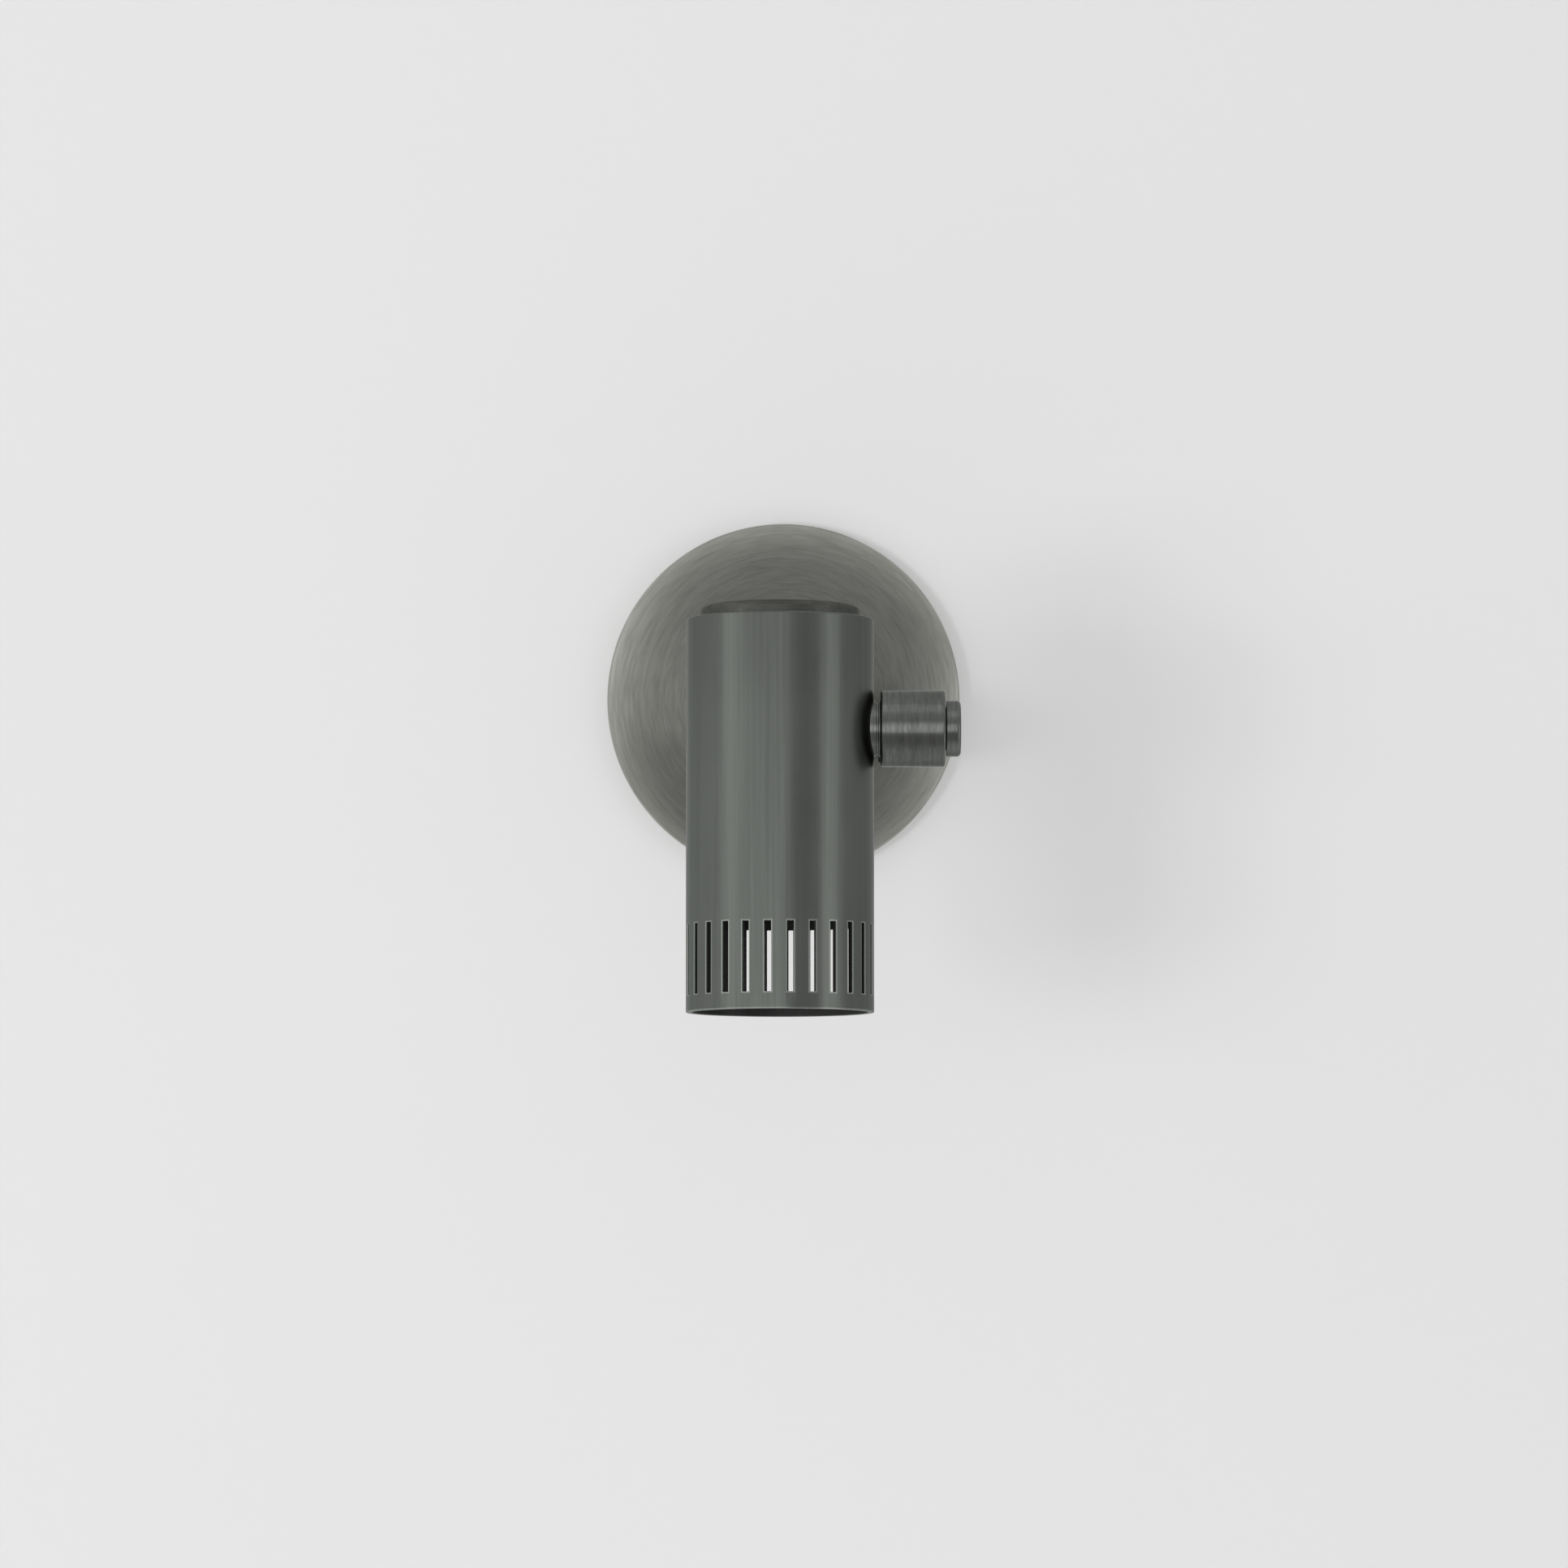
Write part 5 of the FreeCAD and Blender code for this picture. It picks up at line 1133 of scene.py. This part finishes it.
def plain_metal(slot, tone, dark_tone, roughness, mottle, depth):
    """Metal with fine marks and a soft mottle, and a tone that wanders between two colours."""
    finish = finish_of(slot, Metallic=1.0)
    cells = finish.node("ShaderNodeTexVoronoi", {"feature": "F1"},
                        {"Vector": finish.place, "Scale": mottle}, "Color")
    crystal = finish.vector("DOT_PRODUCT", cells, (0.33, 0.33, 0.33)).output("Value")
    marks = finish.noise(finish.stretched(MARKS_RUN), 1.0, 3.0)
    cloud = finish.noise(finish.place, CLOUD_SCALE, 3.0)
    mix = crystal * CRYSTAL_SHARE + marks * MARKS_SHARE + cloud * CLOUD_SHARE
    finish.feed("Base Color", finish.blend(finish.limits(mix, *METAL_SPAN), dark_tone, tone))
    finish.feed("Roughness", roughness + marks * GRAIN_GLOSS)
    finish.relief(marks, depth)
    print("%s: %d nodes" % (finish.name, len(finish.tree.nodes)))


plain_metal("zinc_steel", (0.60, 0.61, 0.60), (0.44, 0.45, 0.45), 0.26, 700.0, 0.004 * MM)
plain_metal("black_steel", (0.055, 0.055, 0.057), (0.025, 0.025, 0.027), 0.38, 900.0, 0.003 * MM)
plain_metal("brass", (0.70, 0.50, 0.24), (0.50, 0.34, 0.15), 0.24, 600.0, 0.004 * MM)
plain_metal("earth_green", (0.05, 0.26, 0.10), (0.03, 0.17, 0.06), 0.30, 700.0, 0.004 * MM)


# %% [markdown]
# Plastics and ceramic
#
# Moulded plastic has a very fine grain and a tone that drifts a little, and so has the unglazed
# ceramic of the lamp holder, only stronger. A plain colour would do at this distance, but the
# grain breaks the highlights as a mould's own surface does.

# %% Plastics, leads and ceramic
DRIFT_SCALE = 60.0


def moulded(slot, tone, roughness, grain, depth, drift=0.12):
    """A moulded piece: fine grain, and a tone that drifts a little."""
    finish = finish_of(slot, Metallic=0.0)
    fine = finish.noise(finish.place, grain, 4.0, 0.6)
    wide = finish.noise(finish.place, DRIFT_SCALE, 2.0)
    darker = tuple(channel * (1 - drift) for channel in tone)
    finish.feed("Base Color", finish.blend((fine + wide) / 2, darker, tone))
    finish.feed("Roughness", roughness + fine * GRAIN_GLOSS)
    finish.relief(fine, depth)
    print("%s: %d nodes" % (finish.name, len(finish.tree.nodes)))


moulded("bush_nylon", (0.78, 0.76, 0.69), 0.40, 1600.0, 0.01 * MM)
moulded("block_plastic", (0.80, 0.80, 0.76), 0.38, 1400.0, 0.012 * MM)
moulded("lead_black", (0.030, 0.030, 0.032), 0.40, 1500.0, 0.01 * MM)
moulded("lead_white", (0.80, 0.80, 0.77), 0.38, 1500.0, 0.01 * MM)
moulded("lead_green", (0.06, 0.30, 0.08), 0.38, 1500.0, 0.01 * MM)
moulded("ring_black", (0.028, 0.028, 0.028), 0.52, 1100.0, 0.02 * MM)
moulded("holder_ceramic", (0.82, 0.79, 0.72), 0.62, 900.0, 0.03 * MM, 0.2)

# %% [markdown]
# Woven sleeve
#
# The leads inside the lamp are sleeved in woven glass fibre against the heat. Modelled strand by
# strand the weave would be far too heavy for a piece that hardly shows, so two sets of stripes
# that cross are multiplied instead: where both are bright, a strand stands up.

# %% Woven sleeve of the leads
BRAID_SCALE = 1300 / 3


def stripes(vector):
    """Slanting stripes, as one set of strands makes them."""
    settings = {"wave_type": "BANDS", "bands_direction": "DIAGONAL"}
    return sleeve.node("ShaderNodeTexWave", settings, {"Vector": vector, "Scale": BRAID_SCALE})


sleeve = finish_of("lead_sleeve", Roughness=0.7)
strands = stripes(sleeve.place) * stripes(sleeve.stretched((-1, 1, -1)))
sleeve.feed("Base Color", sleeve.blend(strands, (0.55, 0.53, 0.47), (0.82, 0.80, 0.74)))
sleeve.relief(strands, 0.05 * MM)
print("%s: %d nodes" % (sleeve.name, len(sleeve.tree.nodes)))

# %% [markdown]
# The lamp's shell and its lens
#
# The shell is cast metal with a fine skin. The lens is frosted, so it glows softly and doesn't
# mirror the room. It could be clear glass over a modelled reflector, which would take very long
# to render and show no more, so part of it lets light through and the rest is white.

# %% Shell of the lamp
shell = finish_of("lamp_shell", Metallic=1.0)
cast = shell.noise(shell.place, 700.0, 3.0)
shell.feed("Base Color", shell.blend(cast, (0.60, 0.61, 0.61), (0.76, 0.76, 0.75)))
shell.feed("Roughness", 0.34 + cast * GRAIN_GLOSS)
shell.relief(cast, 0.006 * MM)
print("%s: %d nodes" % (shell.name, len(shell.tree.nodes)))

# %% Glass of the lens
lens = finish_of("lens_glass", Transmission_Weight=0.4, IOR=1.49)
frost = lens.noise(lens.place, 900.0, 3.0)
lens.feed("Base Color", lens.blend(frost, (0.88, 0.89, 0.88), (0.97, 0.97, 0.96)))
lens.feed("Roughness", 0.14 + frost * 0.10)
lens.relief(frost, 0.01 * MM)
print("%s: %d nodes" % (lens.name, len(lens.tree.nodes)))

# %% [markdown]
# Sizes at the end
#
# Each dressed piece has printed above how far it reaches beyond the box of the node it replaces.
# The dressed lamp has to stay within the engineering model's own box.
